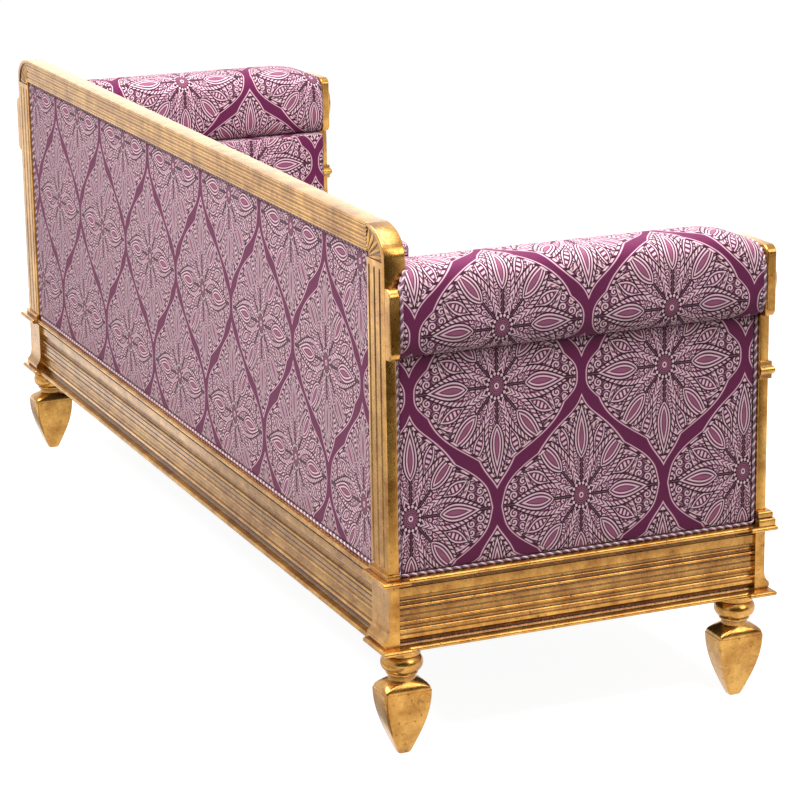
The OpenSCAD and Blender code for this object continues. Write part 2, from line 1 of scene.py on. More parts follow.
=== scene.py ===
# %% [markdown]
# # A recamier in gilt wood and figured fabric
#
# A recamier is a long seat with a back and two level padded arms. This lesson dresses a finished
# wooden frame, which comes from the CAD model, in what the eye sees: burnished gold, woven cloth,
# twisted cord. The photograph looks at it from behind and from its left end, so most care goes there,
# but the seat side is made as fully.
#
# The frame is loaded first. Everything after it is in metres, in the frame's own place.

# %% Load the frame
import math

import bmesh
import bpy
from mathutils import Matrix, Quaternion, Vector, noise


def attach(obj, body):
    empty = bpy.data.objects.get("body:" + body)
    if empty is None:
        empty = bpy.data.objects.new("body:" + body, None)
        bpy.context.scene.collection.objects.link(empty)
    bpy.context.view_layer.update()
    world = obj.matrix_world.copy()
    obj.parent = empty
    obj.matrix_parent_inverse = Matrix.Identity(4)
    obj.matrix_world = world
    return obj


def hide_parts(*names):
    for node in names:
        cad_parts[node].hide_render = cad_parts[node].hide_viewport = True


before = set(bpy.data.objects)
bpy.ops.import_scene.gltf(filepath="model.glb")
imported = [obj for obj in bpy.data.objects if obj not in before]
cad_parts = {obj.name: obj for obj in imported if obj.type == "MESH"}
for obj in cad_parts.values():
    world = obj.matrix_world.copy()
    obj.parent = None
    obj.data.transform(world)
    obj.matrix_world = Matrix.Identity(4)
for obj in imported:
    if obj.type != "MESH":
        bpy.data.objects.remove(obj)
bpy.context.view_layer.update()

MM = 0.001

# %% [markdown]
# ## Camera, floor and light
#
# The photograph was taken with a long lens from behind the left end, a little above the crest. Its place
# was worked out from fourteen corners measured in the picture, so the camera is set from those numbers
# and not by eye. A long lens keeps the far end nearly as large as the near one.

# %% A helper: a new object
def put(name, data):
    """A new object of some data, linked to the scene."""
    made = bpy.data.objects.new(name, data)
    bpy.context.scene.collection.objects.link(made)
    return made


# %% Camera
CAMERA_TARGET = Vector((-0.2616, 0.0, 0.3756))
CAMERA_AZIMUTH = 246.96
CAMERA_ELEVATION = 15.33
CAMERA_ROLL = -0.82
CAMERA_DISTANCE = 5.3533
FOCAL_PIXELS = 2898.12
FRAME_PIXELS = 800
SENSOR_MM = 36

azimuth = math.radians(CAMERA_AZIMUTH)
elevation = math.radians(CAMERA_ELEVATION)
away = Vector((math.sin(azimuth)*math.cos(elevation), -math.cos(azimuth)*math.cos(elevation),
               math.sin(elevation)))
camera = put("camera", bpy.data.cameras.new("camera"))
camera.data.sensor_width = SENSOR_MM
camera.data.lens = FOCAL_PIXELS*SENSOR_MM/FRAME_PIXELS
camera.location = CAMERA_TARGET + away*CAMERA_DISTANCE
camera.rotation_mode = "QUATERNION"
roll = Quaternion((0, 0, 1), math.radians(CAMERA_ROLL))
camera.rotation_quaternion = (-away).to_track_quat("-Z", "Y") @ roll
bpy.context.scene.camera = camera
bpy.context.scene.view_settings.view_transform = "Standard"
print("camera at", [round(v, 3) for v in camera.location], "lens", round(camera.data.lens, 1), "mm")

# %% [markdown]
# ## Two helpers: a colour and a node
#
# Painters pick colours as the eye sees them, but a renderer adds light in linear numbers. One function
# turns a hex colour given that way into those numbers. A second one adds a node to any tree: the values
# after its kind go to its sockets in order, and a socket given as a value is linked. It returns the
# node's first output, so that one call can sit inside another like a sum in a formula.

# %% Colour and node helpers
def colour(code):
    """The linear colour, with alpha 1, of an sRGB hex code."""
    parts = [int(code[i:i + 2], 16)/255 for i in (1, 3, 5)]
    return [c/12.92 if c <= 0.04045 else ((c + 0.055)/1.055)**2.4 for c in parts] + [1.0]


def add(tree, kind, *values, named=None, **settings):
    """Adds a node, sets it, fills its sockets in order or by name, and returns its first output."""
    prefix = next(p for p in ("ShaderNode", "GeometryNode", "FunctionNode", "Node")
                  if hasattr(bpy.types, p + kind))
    node = tree.nodes.new(prefix + kind)
    for key, value in settings.items():
        setattr(node, key, value)
    shown = [s for s in node.inputs if s.enabled]
    pairs = list(zip(shown, values)) + [
        (next(s for s in shown if s.name == key), value) for key, value in (named or {}).items()]
    for socket, value in pairs:
        if isinstance(value, bpy.types.NodeSocket):
            tree.links.new(value, socket)
        elif value is not None:
            socket.default_value = value
    shown = [s for s in node.outputs if s.enabled]
    return shown[0] if shown else node


def material(name):
    """A new material with an empty tree and its output node's surface socket."""
    made = bpy.data.materials.new(name)
    made.use_nodes = True
    made.node_tree.nodes.clear()
    output = made.node_tree.nodes.new("ShaderNodeOutputMaterial")
    return made, made.node_tree, output.inputs["Surface"]


# %% [markdown]
# ## A plain studio
#
# The photograph is cut out on white. A wide floor of matt paint stands in for the paper sweep. Seen by
# the camera, in a reflection or through glass it gives off light of its own, which lifts it to white. To
# the object it is only paint, so it still takes the object's shadow, and the paint is a light grey,
# because a white one would throw too much light up under the arms. One large soft lamp hangs above the
# back, a small one above the left arm, and a weak one fills in from the camera's side.
#
# Gold shows what stands round it. Round a real sweep the studio is dark, and that dark is what draws the
# brown lines in a gilt moulding. So a dark curtain hangs behind the camera and a dark cloth lies at its
# feet. Grey cards close behind the back are a painted shadow: they stand for the object's own shadow on
# the floor, where the rear faces mirror it. Strips of paper lie where the rails and the feet mirror the
# floor, a far card is what the crest's top mirrors, and a tall bright card draws the highlights.
# All of them show only in reflections: neither the camera nor the soft shading of the cloth meets them.

# %% Floor and world
FLOOR_HALF = 40.0
FLOOR_GLOW = 0.94
SKY_LIGHT = 0.2


def staged(name, corners, finish):
    """A flat four-cornered piece of the studio."""
    mesh = bpy.data.meshes.new(name)
    mesh.from_pydata(corners, [], [(0, 1, 2, 3)])
    mesh.materials.append(finish)
    made = put(name, mesh)
    return made


def mirrored_or_seen(tree):
    """1 for rays from the camera, from a gloss or through glass, 0 for the soft ones."""
    rays = add(tree, "LightPath").node.outputs
    seen = add(tree, "Math", rays["Is Camera Ray"], rays["Is Glossy Ray"], operation="MAXIMUM")
    return add(tree, "Math", seen, rays["Is Transmission Ray"], operation="MAXIMUM")


paper, tree, surface = material("matt paper sweep")
paint = add(tree, "BsdfDiffuse", colour("#979694"))
glow = add(tree, "Emission", colour("#ffffff"), FLOOR_GLOW)
nothing = add(tree, "BsdfTransparent", colour("#000000"))
lift = add(tree, "MixShader", mirrored_or_seen(tree), nothing, glow)
tree.links.new(add(tree, "AddShader", paint, lift), surface)
staged("floor", [(-FLOOR_HALF, -FLOOR_HALF, 0), (FLOOR_HALF, -FLOOR_HALF, 0),
                 (FLOOR_HALF, FLOOR_HALF, 0), (-FLOOR_HALF, FLOOR_HALF, 0)], paper)

world = bpy.data.worlds.new("studio")
bpy.context.scene.world = world
world.use_nodes = True
tree = world.node_tree
tree.nodes.clear()
strength = add(tree, "MapRange", mirrored_or_seen(tree), 0.0, 1.0, SKY_LIGHT, 1.0)
sky = add(tree, "Background", colour("#ffffff"), strength)
tree.links.new(sky, tree.nodes.new("ShaderNodeOutputWorld").inputs["Surface"])

# %% Curtain and lamps
CLOTH_Z, PAPER_Z = 0.004, 0.006  # just clear of the floor, and of each other


def laid(x0, x1, y0, y1, z):
    """The corners of an oblong that lies flat."""
    return [(x0, y0, z), (x1, y0, z), (x1, y1, z), (x0, y1, z)]


CARDS = {
    # light given off, then four corners in metres
    "dark curtain": (0.05, [(-6.2, -8, 0), (-6.2, 8, 0), (-6.2, 8, 4.6), (-6.2, -8, 4.6)]),
    "dark cloth": (0.03, laid(-6.2, -2.1, -1.3, 8, CLOTH_Z)),
    # painted shadow: the object's shadow on the floor behind the back, as the gold mirrors it
    "grey cloth": (0.74, [(-1.4, 0.5, CLOTH_Z), (0.5, 0.5, CLOTH_Z), (2.0, 1.7, CLOTH_Z),
                          (-1.4, 1.7, CLOTH_Z)]),
    "rail strip": (1.0, [(-1.4, 0.5, PAPER_Z), (0.6, 0.5, PAPER_Z), (0.8, 0.68, PAPER_Z),
                         (-1.4, 0.68, PAPER_Z)]),
    "end paper": (1.5, laid(-2.1, -1.6, -0.8, 0.05, PAPER_Z)),
    # painted shadow along the foot of the back, as the gold mirrors it
    "grey strip": (0.55, laid(-1.4, 4, 0.35, 0.45, PAPER_Z)),
    "end strip": (1.5, laid(-1.6, -1.22, -0.1, 0.34, PAPER_Z)),
    "far card": (2.2, [(10, -7, 1.2), (10, -0.5, 1.2), (10, -0.5, 3.4), (10, -7, 3.4)]),
    "pale paper": (1.5, laid(0.9, 7, 1.42, 3.5, CLOTH_Z)),
    "bright card": (5.0, [(-3.6, -2.6, 1.5), (-4.3, -1.0, 1.5), (-4.0, -0.8, 3.4), (-3.3, -2.4, 3.4)]),
}
for name, (light, corners) in CARDS.items():
    finish, tree, surface = material(name)
    tree.links.new(add(tree, "Emission", colour("#fff6ea"), light), surface)
    card = staged(name, corners, finish)
    card.visible_camera = card.visible_diffuse = card.visible_transmission = card.visible_shadow = False

LAMPS = {
    # place and aim in metres, size in metres, power in watts, and whether it shows in reflections
    "overhead softbox": ((-0.3, 0.95, 3.4), (-0.3, 0.35, 0.4), (4.0, 4.0), 338.0, True),
    "side softbox": ((-4.6, -1.6, 3.2), (-0.8, 0.0, 0.5), (1.8, 1.8), 8.0, True),
    "end softbox": ((-2.6, 0.1, 3.4), (-1.0, 0.0, 0.6), (0.9, 0.9), 50.0, False),
}
for name, (place, aim, size, power, mirrored) in LAMPS.items():
    lamp = put(name, bpy.data.lights.new(name, "AREA"))
    lamp.data.shape = "RECTANGLE"
    lamp.data.size, lamp.data.size_y = size
    lamp.data.energy = power
    lamp.location = place
    lamp.visible_glossy = mirrored
    lamp.rotation_mode = "QUATERNION"
    lamp.rotation_quaternion = (Vector(aim) - Vector(place)).to_track_quat("-Z", "Y")
    print(name, "at", place, "m,", power, "W")

# %% [markdown]
# ## Gilt wood
#
# The show-wood is carved, coated with chalk and red-brown clay, laid with gold leaf and rubbed to a
# sheen. The eye sees a warm metal that is nearly white where it is brushed by light and deep brown where
# it faces the dark. So the surface is a metal under a thin clear coat. A number stored on the mesh says
# how deep in a hollow a point lies. There the colour is mixed towards the clay's red-brown as painted
# shade, and the surface is less metal. Slow noise changes the leaf's tone, and fine noise wears small
# pits in it to the clay. Leaf comes in squares of 80 mm, and where two of them lap, the rubbing leaves a
# broken dark line.

# %% Gilt wood material
# the clay's red-brown shows in worn pits and laps, and is also the colour of the shade painted into
# hollows
GOLD_LEAF, GOLD_DEEP, CLAY_AND_SHADE = "#d8a555", "#a06c28", "#4a240e"
LEAF_SQUARE, LAP_WIDE, PIT_DEEP = 80.0, 2.2, 0.6

gilt, tree, surface = material("burnished gold leaf on wood")
place = add(tree, "TexCoord").node.outputs["Object"]
clouds = add(tree, "TexNoise", place, named={"Scale": 22.0, "Detail": 6.0, "Roughness": 0.65})
specks = add(tree, "TexNoise", place, named={"Scale": 230.0, "Detail": 3.0, "Roughness": 0.65})
painted_shade = add(tree, "Attribute", attribute_name="painted_shade").node.outputs["Fac"]
leaf = add(tree, "Mix", add(tree, "MapRange", clouds, 0.35, 0.65, 0.0, 1.0),
           colour(GOLD_LEAF), colour(GOLD_DEEP), data_type="RGBA")
pits = add(tree, "TexNoise", place, named={"Scale": 140.0, "Detail": 4.0, "Roughness": 0.7})
worn = add(tree, "MapRange", pits, 0.6, 0.7, 0.0, 0.9)
x, y, _ = add(tree, "SeparateXYZ", place).node.outputs
crossing = add(tree, "Math", add(tree, "Math", x, y, operation="ADD"), clouds, operation="ADD")
crossing = add(tree, "Math", crossing, LEAF_SQUARE*MM, operation="PINGPONG")
lap = add(tree, "MapRange", crossing, 0.0, LAP_WIDE*MM, 1.0, 0.0)
lap = add(tree, "Math", lap, add(tree, "MapRange", specks, 0.4, 0.54, 0.0, 0.85), operation="MULTIPLY")
worn = add(tree, "Math", worn, lap, operation="MAXIMUM")
leaf = add(tree, "Mix", worn, leaf, colour(CLAY_AND_SHADE), data_type="RGBA")
# painted shade: the deeper a point lies in a hollow, the more its colour goes to the clay's and the less
# metal it is
hollow = add(tree, "Math", painted_shade, add(tree, "MapRange", specks, 0.3, 0.6, 0.95, 1.35),
             operation="MULTIPLY", use_clamp=True)
leaf = add(tree, "Mix", hollow, leaf, colour(CLAY_AND_SHADE), data_type="RGBA")
metal = add(tree, "MapRange", add(tree, "Math", hollow, worn, operation="MAXIMUM"), 0.0, 1.0, 0.92, 0.55)
rough = add(tree, "MapRange", pits, 0.3, 0.7, 0.19, 0.29)
relief = add(tree, "Bump", 0.03, PIT_DEEP*MM, named={"Height": specks})
gold = add(tree, "BsdfPrincipled", named={
    "Base Color": leaf, "Metallic": metal, "Roughness": rough, "Normal": relief,
    "Coat Weight": 0.3, "Coat Roughness": 0.2, "Coat IOR": 1.5})
tree.links.new(gold, surface)

# %% [markdown]
# ## The plain woods, steel and cloths inside
#
# The frame under the cloth is planed hardwood, held by zinc plated bolts. It is seen only from below,
# but it gets its own grain: rings stretched along the board by a Mapping node. The webbing's, the dust
# cloth's and the foam's checks of 1 to 3 mm are coarser than real threads and cells, which wouldn't show.

# %% Inner materials
planed, tree, surface = material("planed beech")
place = add(tree, "Mapping", add(tree, "TexCoord").node.outputs["Object"], named={"Scale": (1, 1, 6)})
rings = add(tree, "TexWave", place, named={"Scale": 9.0, "Distortion": 6.0, "Detail": 3.0})
wood = add(tree, "Mix", rings, colour("#c9a878"), colour("#b48f5f"), data_type="RGBA")
tree.links.new(add(tree, "BsdfPrincipled", named={"Base Color": wood, "Roughness": 0.62}), surface)

zinc, tree, surface = material("zinc plated steel")
place = add(tree, "TexCoord").node.outputs["Object"]
spangle = add(tree, "TexVoronoi", place, named={"Scale": 420.0})
tint = add(tree, "Mix", spangle, colour("#a9abad"), colour("#8b8e91"), data_type="RGBA")
tree.links.new(add(tree, "BsdfPrincipled", named={
    "Base Color": tint, "Metallic": 1.0, "Roughness": 0.38}), surface)

THREAD_DEEP = 0.4
PLAIN_CLOTHS = {
    # light, dark, and the pitch of the threads or cells in millimetres
    "woven jute webbing": ("#8f7a5c", "#6d5a41", 1.6),
    "black dust cloth": ("#232224", "#151416", 0.8),
    "cream cushion foam": ("#e8dfc8", "#d8ccb0", 3.0),
}
cloths = {}
for name, (light, dark, pitch) in PLAIN_CLOTHS.items():
    cloths[name], tree, surface = material(name)
    place = add(tree, "TexCoord").node.outputs["Object"]
    checks = add(tree, "TexChecker", place, named={"Scale": 1/(pitch*MM)})
    grain = add(tree, "TexNoise", place, named={"Scale": 90.0, "Detail": 4.0})
    tone = add(tree, "Mix", grain, colour(light), colour(dark), data_type="RGBA")
    relief = add(tree, "Bump", 0.3, THREAD_DEEP*MM, named={"Height": checks.node.outputs["Fac"]})
    tree.links.new(add(tree, "BsdfPrincipled", named={
        "Base Color": tone, "Roughness": 0.92, "Normal": relief}), surface)

# %% [markdown]
# ## The woven figure
#
# The cover is a jacquard, a cloth whose figure is woven in and not printed. It repeats as a half-drop
# lattice: rosettes in curved cells, each cell in a rope border, with a plain dark band between them. It
# could be painted as an image, but an image has one fixed size and seams. Sums in the material stay
# sharp at any distance, so the figure is drawn with Math nodes, from distances in millimetres.
#
# Two node groups hold what repeats. One folds the plane round a centre so that a single petal becomes a
# ring of them, and says how far inside the petal's edge a point lies. The other fills the ground with
# small scrolls.

# %% Node groups: a ring of petals, a ground of scrolls
def number_group(name, inputs, outputs):
    """A group of number sockets: its tree, its inputs to read and its outputs to link."""
    tree = bpy.data.node_groups.new(name, "ShaderNodeTree")
    for key in inputs:
        tree.interface.new_socket(key, in_out="INPUT", socket_type="NodeSocketFloat")
    for key in outputs:
        tree.interface.new_socket(key, in_out="OUTPUT", socket_type="NodeSocketFloat")
    return tree, tree.nodes.new("NodeGroupInput").outputs, tree.nodes.new("NodeGroupOutput").inputs


tree, given, result = number_group(
    "ring of petals", ["Radius", "Angle", "Count", "Phase", "Root", "Tip", "Width", "Power"],
    ["Edge", "Along"])
sector = add(tree, "Math", 2*math.pi, given["Count"], operation="DIVIDE")
turned = add(tree, "Math", given["Phase"], sector, given["Angle"], operation="MULTIPLY_ADD")
high = add(tree, "Math", sector, 0.5, operation="MULTIPLY")
low = add(tree, "Math", sector, -0.5, operation="MULTIPLY")
folded = add(tree, "Math", turned, high, low, operation="WRAP")
cosine, sine = (add(tree, "Math", folded, operation=kind) for kind in ("COSINE", "SINE"))
along = add(tree, "Math", given["Radius"], cosine, operation="MULTIPLY")
across = add(tree, "Math", given["Radius"], sine, operation="MULTIPLY")
share = add(tree, "MapRange", along, given["Root"], given["Tip"], 0.0, 1.0)
share = add(tree, "Math", share, given["Power"], operation="POWER")
belly = add(tree, "Math", add(tree, "Math", share, math.pi, operation="MULTIPLY"), operation="SINE")
belly = add(tree, "Math", belly, given["Width"], operation="MULTIPLY")
inside = add(tree, "Math", belly, add(tree, "Math", across, operation="ABSOLUTE"), operation="SUBTRACT")
tree.links.new(inside, result["Edge"])
tree.links.new(along, result["Along"])
petal_ring = tree

tree, given, result = number_group(
    "ground of scrolls", ["Across", "Up", "Cell", "Turns", "Bias"], ["Mask"])
LINE_EDGE, ROOM_EDGE = 1.43, 2.0
high = add(tree, "Math", given["Cell"], 0.5, operation="MULTIPLY")
low = add(tree, "Math", given["Cell"], -0.5, operation="MULTIPLY")
column = add(tree, "Math", given["Across"], high, operation="ADD")
column = add(tree, "Math", column, given["Cell"], operation="DIVIDE")
column = add(tree, "Math", column, operation="FLOOR")
column = add(tree, "Math", column, 2.0, operation="FLOORED_MODULO")
x = add(tree, "Math", given["Across"], high, low, operation="WRAP")
y = add(tree, "Math", column, high, given["Up"], operation="MULTIPLY_ADD")
y = add(tree, "Math", y, high, low, operation="WRAP")
out = add(tree, "VectorMath", add(tree, "CombineXYZ", x, y), operation="LENGTH")
hand = add(tree, "Math", column, -2.0, 1.0, operation="MULTIPLY_ADD")
turn = add(tree, "Math", y, add(tree, "Math", x, hand, operation="MULTIPLY"), operation="ARCTAN2")
wave = add(tree, "Math", out, given["Turns"], turn, operation="MULTIPLY_ADD")
wave = add(tree, "Math", wave, operation="SINE")
wave = add(tree, "Math", wave, given["Bias"], operation="ADD")
line = add(tree, "Math", wave, LINE_EDGE, 0.5, operation="MULTIPLY_ADD", use_clamp=True)
room = add(tree, "Math", high, out, operation="SUBTRACT")
room = add(tree, "Math", room, ROOM_EDGE, 0.4, operation="MULTIPLY_ADD", use_clamp=True)
tree.links.new(add(tree, "Math", line, room, operation="MULTIPLY"), result["Mask"])
scroll_ground = tree

# %% [markdown]
# The figure itself is a table. A ring of petals has its size, then its threads from the ground up: the
# colour, where the thread starts and stops inside the petal's edge, and its hatching. Hatching is a sine
# along the petal, slanted by a share of the distance from the edge, which is what makes a line look like
# rope. Each thread is laid over the last with a Mix node, as a weaver floats one weft over another.

# %% The figure's table
PALE, MAUVE, GROUND, PLUM, INK = "#e3c4cc", "#985573", "#5e2243", "#651c47", "#3a1026"
LATTICE = (300.0, 400.0)
PETAL_SQUASH = 0.8
LACE = "lace"
RINGS = [
    # count, phase, root, tip, width, power; then colour, start, stop, hatch per mm, slant, bias
    ((8, 0.5, 20, 112, 22, 1.7), [
        (INK, -2.6, None), (MAUVE, 0, None), (PALE, 0, 7, 0.85, 1.2, -0.1), (PALE, 0, 1.8),
        (INK, 7, None), (PLUM, 8.4, None), (PALE, 8.6, None, LACE)]),
    ((8, 0.5, 60, 106, 8, 1.0), [
        (INK, -2, None), (PALE, 0, None), (PLUM, 2.0, None), (PALE, 4.0, None, 0.9, 0.0, 0.1)]),
    ((8, 0.0, 12, 130, 21, 0.8), [
        (INK, -2.4, None), (PLUM, 0, None), (PALE, 7, None, LACE), (PALE, 0, 5.2, 0.85, 1.2, 0.3)]),
    ((8, 0.0, 50, 120, 11.5, 0.72), [
        (INK, -2.4, None), (PALE, 0, None), (PLUM, 2.2, None), (PALE, 4.8, 7.0),
        (MAUVE, 8.4, None)]),
]
# the border's threads, by distance from the middle of the band
BAND = [(INK, 15.6), (PALE, 14.6), (PLUM, 11.2), (MAUVE, 9.6), (PALE, 8.9), (MAUVE, 7.4), (PLUM, 6.6)]
ROPE_BORDER = 14.6

# %% Figured jacquard material
FOIL_SWELL, FOIL_SHIFT = 8.0, -6.0
EDGE = 2.0
RIB, FLOAT, RIB_DEEP = 1.1, 1.6, 0.4
figured, tree, surface = material("figured jacquard weave")
sheet = add(tree, "UVMap", uv_map="cloth")
sheet = add(tree, "VectorMath", sheet, operation="SCALE", named={"Scale": 1000.0})
across, up = add(tree, "SeparateXYZ", sheet).node.outputs[:2]
folds = []
for value, period in zip((across, up), LATTICE):
    wrapped = add(tree, "Math", value, period/2, -period/2, operation="WRAP")
    folds.append(add(tree, "Math", wrapped, operation="ABSOLUTE"))
phase = add(tree, "Math", folds[1], 2*math.pi/LATTICE[1], operation="MULTIPLY")
cosine, sine = (add(tree, "Math", phase, operation=kind) for kind in ("COSINE", "SINE"))
wide = add(tree, "Math", cosine, LATTICE[0]/4, LATTICE[0]/4, operation="MULTIPLY_ADD")
lean = add(tree, "Math", sine, LATTICE[0]/4*2*math.pi/LATTICE[1], operation="MULTIPLY")
gap = add(tree, "Math", folds[0], wide, operation="SUBTRACT")
other = add(tree, "Math", gap, 0.0, operation="GREATER_THAN")
local = []
for value, period in zip(folds, LATTICE):
    far = add(tree, "Math", period/2, value, operation="SUBTRACT")
    local.append(add(tree, "Mix", other, value, far, data_type="FLOAT"))
p, q = local
foil = add(tree, "Math", add(tree, "Math", phase, 2.5, operation="MULTIPLY"), operation="SINE")
foil = add(tree, "Math", foil, operation="ABSOLUTE")
foil = add(tree, "Math", foil, FOIL_SWELL, FOIL_SHIFT, operation="MULTIPLY_ADD")
calm = add(tree, "MapRange", add(tree, "Math", p, q, operation="MINIMUM"), 0.0, 30.0, 0.0, 1.0)
slant = add(tree, "Math", add(tree, "Math", lean, lean, 1.0, operation="MULTIPLY_ADD"), operation="SQRT")
band = add(tree, "Math", add(tree, "Math", gap, operation="ABSOLUTE"), slant, operation="DIVIDE")
band = add(tree, "Math", foil, calm, band, operation="MULTIPLY_ADD")
low_q = add(tree, "Math", q, PETAL_SQUASH, operation="MULTIPLY")
radius = add(tree, "VectorMath", add(tree, "CombineXYZ", p, low_q), operation="LENGTH")
angle = add(tree, "Math", low_q, p, operation="ARCTAN2")
lace = add(tree, "Group", p, q, 10.5, 1.45, 0.0, node_tree=scroll_ground)


def within(distance, start):
    """1 where distance is past start, with a soft edge half a millimetre wide, which is 1/EDGE."""
    return add(tree, "Math", distance, EDGE, 0.5 - EDGE*start, operation="MULTIPLY_ADD", use_clamp=True)


def short_of(distance, stop):
    """1 where distance has not reached stop yet."""
    return add(tree, "Math", distance, -EDGE, 0.5 + EDGE*stop, operation="MULTIPLY_ADD", use_clamp=True)


def hatch(along, inwards, per_mm, slope, bias):
    """Stripes across a thread."""
    t = add(tree, "Math", inwards, slope, along, operation="MULTIPLY_ADD")
    t = add(tree, "Math", add(tree, "Math", t, per_mm, operation="MULTIPLY"), operation="SINE")
    return add(tree, "Math", t, EDGE, 0.5 + EDGE*bias, operation="MULTIPLY_ADD", use_clamp=True)


def weave(ground, code, *masks):
    """Lays a colour over the ground where all the masks are 1."""
    mask = masks[0]
    for other_mask in masks[1:]:
        mask = add(tree, "Math", mask, other_mask, operation="MULTIPLY")
    return add(tree, "Mix", mask, ground, colour(code), data_type="RGBA")


scrolls = add(tree, "Group", p, q, 15.0, 1.25, -0.05, node_tree=scroll_ground)
cloth = add(tree, "Mix", scrolls, colour(GROUND), colour(PALE), data_type="RGBA")
for sizes, threads in RINGS:
    node = add(tree, "Group", radius, angle, *[float(s) for s in sizes], node_tree=petal_ring).node
    inside, along = node.outputs["Edge"], node.outputs["Along"]
    for code, start, stop, *hatching in threads:
        masks = [within(inside, start)]
        if stop is not None:
            masks.append(short_of(inside, stop))
        if hatching == [LACE]:
            masks.append(lace)
        elif hatching:
            masks.append(hatch(along, inside, *hatching))
        cloth = weave(cloth, code, *masks)

# the rosette's heart: a dark disc, a ring of sixteen seeds, fine rings and an eye
seeds = add(tree, "Group", radius, angle, 16.0, 0.5, 13.6, 18.8, 2.2, 1.0, node_tree=petal_ring)
cloth = weave(cloth, INK, short_of(radius, 19.5))
cloth = weave(cloth, PALE, within(seeds, 0.0))
cloth = weave(cloth, MAUVE, short_of(radius, 12.5), hatch(radius, radius, 2.2, 0.0, 0.2))
cloth = weave(cloth, PALE, short_of(radius, 4.0))
cloth = weave(cloth, PLUM, short_of(radius, 2.0))
length = add(tree, "Math", p, 0.35, q, operation="MULTIPLY_ADD")
for code, reach in BAND:
    rope = [hatch(length, band, 0.85, 0.6, 0.2)] if reach == ROPE_BORDER else []
    cloth = weave(cloth, code, short_of(band, reach), *rope)

# ribs of the weave, 1.1 mm apart: real ones are finer, but would not show
ribs = add(tree, "Math", add(tree, "Math", up, 2*math.pi/RIB, operation="MULTIPLY"), operation="SINE")
floats = add(tree, "Math", across, 2*math.pi/FLOAT, operation="MULTIPLY")
floats = add(tree, "Math", floats, operation="SINE")
ribs = add(tree, "Math", ribs, floats, operation="ADD")
fuzz = add(tree, "TexNoise", sheet, named={"Scale": 0.05, "Detail": 6.0, "Roughness": 0.7})
tone = add(tree, "Math", ribs, 0.04, fuzz, operation="MULTIPLY_ADD")
tone = add(tree, "MapRange", tone, 0.3, 0.7, 0.9, 1.1)
cloth = add(tree, "HueSaturation", 0.5, 1.0, tone, 1.0, cloth)
relief = add(tree, "Bump", 0.35, RIB_DEEP*MM, named={"Height": ribs})
tree.links.new(add(tree, "BsdfPrincipled", named={
    "Base Color": cloth, "Roughness": 0.8, "Normal": relief, "Specular IOR Level": 0.25,
    "Sheen Weight": 0.1, "Sheen Roughness": 0.45, "Sheen Tint": colour("#f3dfe4")}), surface)
print("the figured weave has", len(tree.nodes), "nodes")

# %% [markdown]
# ## From outlines to solids
#
# A cabinetmaker runs a moulding from one outline, and so does this script. An outline is a list of
# points in millimetres. It becomes a solid in one of three ways: lofted through several copies of
# itself, run straight along an axis, or led along a path and mitred at its corners. Sharp corners are
# eased first, because no real edge is perfectly sharp and the easing is what catches the light.
#
# Each point also gets a number for how deep in a hollow it lies. It is worked out once from the outline:
# from the point, how high does the outline rise to either side? The gilding paints it as shade, in the
# clay's colour.

# %% Outlines
SHARP_TURN, SAME = 28.0, 1e-6


def arc(cx, cy, rx, ry, start, end, steps):
    """Points along part of an ellipse, its angles in degrees."""
    turns = [math.radians(start + (end - start)*i/steps) for i in range(steps + 1)]
    return [(cx + rx*math.cos(a), cy + ry*math.sin(a)) for a in turns]


def eased(outline, reach, steps=3):
    """The outline with each sharp corner rounded off."""
    points = [Vector(p) for p in outline]
    soft = []
    for i, here in enumerate(points):
        come, leave = here - points[i - 1], points[(i + 1) % len(points)] - here
        if come.length < SAME or leave.length < SAME:
            continue
        if come.angle(leave) < math.radians(SHARP_TURN):
            soft.append(here)
            continue
        cut = min(reach, come.length*0.45, leave.length*0.45)
        first, last = here - come.normalized()*cut, here + leave.normalized()*cut
        for k in range(steps + 1):
            t = k/steps
            soft.append(first*(1 - t)**2 + here*2*t*(1 - t) + last*t*t)
    return soft


def outwards(outline, i):
    """The direction out of an anticlockwise outline at one of its points."""
    here = Vector(outline[i])
    come, leave = here - Vector(outline[i - 1]), Vector(outline[(i + 1) % len(outline)]) - here
    way = come.normalized() + leave.normalized()
    return Vector((way.y, -way.x)).normalized()


def inset(outline, depth):
    """The outline drawn in by a depth."""
    return [Vector(p) - outwards(outline, i)*depth for i, p in enumerate(outline)]


# the gilding paints this number as shade in the hollows
def hollows(outline, reach=14.0):
    """How deep in a hollow each point of an outline lies, from 0 on a flat to 1 in a crack."""
    depths = []
    for i, here in enumerate(outline):
        out = outwards(outline, i)
        rise = [0.0, 0.0]
        for there in outline:
            way = Vector(there) - Vector(here)
            if 0.4 < way.length < reach:
                up, side = way.dot(out), way.dot(Vector((-out.y, out.x)))
                k = 0 if side < 0 else 1
                rise[k] = max(rise[k], math.atan2(up, abs(side))*(1 - way.length/reach)**0.5)
        depths.append(min(1.0, (rise[0] + rise[1])/2.2))
    return depths


# %% Solids from outlines
def loft(rings, hollow=None):
    """A closed solid through rings of points: its points, faces and hollows."""
    n, m = len(rings[0]), len(rings)
    faces = [(k*n + i, k*n + (i + 1) % n, (k + 1)*n + (i + 1) % n, (k + 1)*n + i)
             for k in range(m - 1) for i in range(n)]
    faces += [tuple(range(n))[::-1], tuple((m - 1)*n + i for i in range(n))]
    return [tuple(p) for ring in rings for p in ring], faces, (hollow or [0.0]*n)*m


def run(axis, low, high, outline, ease=0.4, hollow=None):
    """Runs an outline straight along an axis. Its ends are eased steeply and stay flat."""
    rings = []
    for along, inward in ((low, ease), (low + ease*0.5, ease*0.35), (low + ease, 0), (high - ease, 0),
                          (high - ease*0.5, ease*0.35), (high, ease)):
        flat = inset(outline, inward) if inward else outline
        rings.append([{"X": (along, a, b), "Y": (a, along, b), "Z": (a, b, along)}[axis]
                      for a, b in flat])
    return loft(rings, hollow)


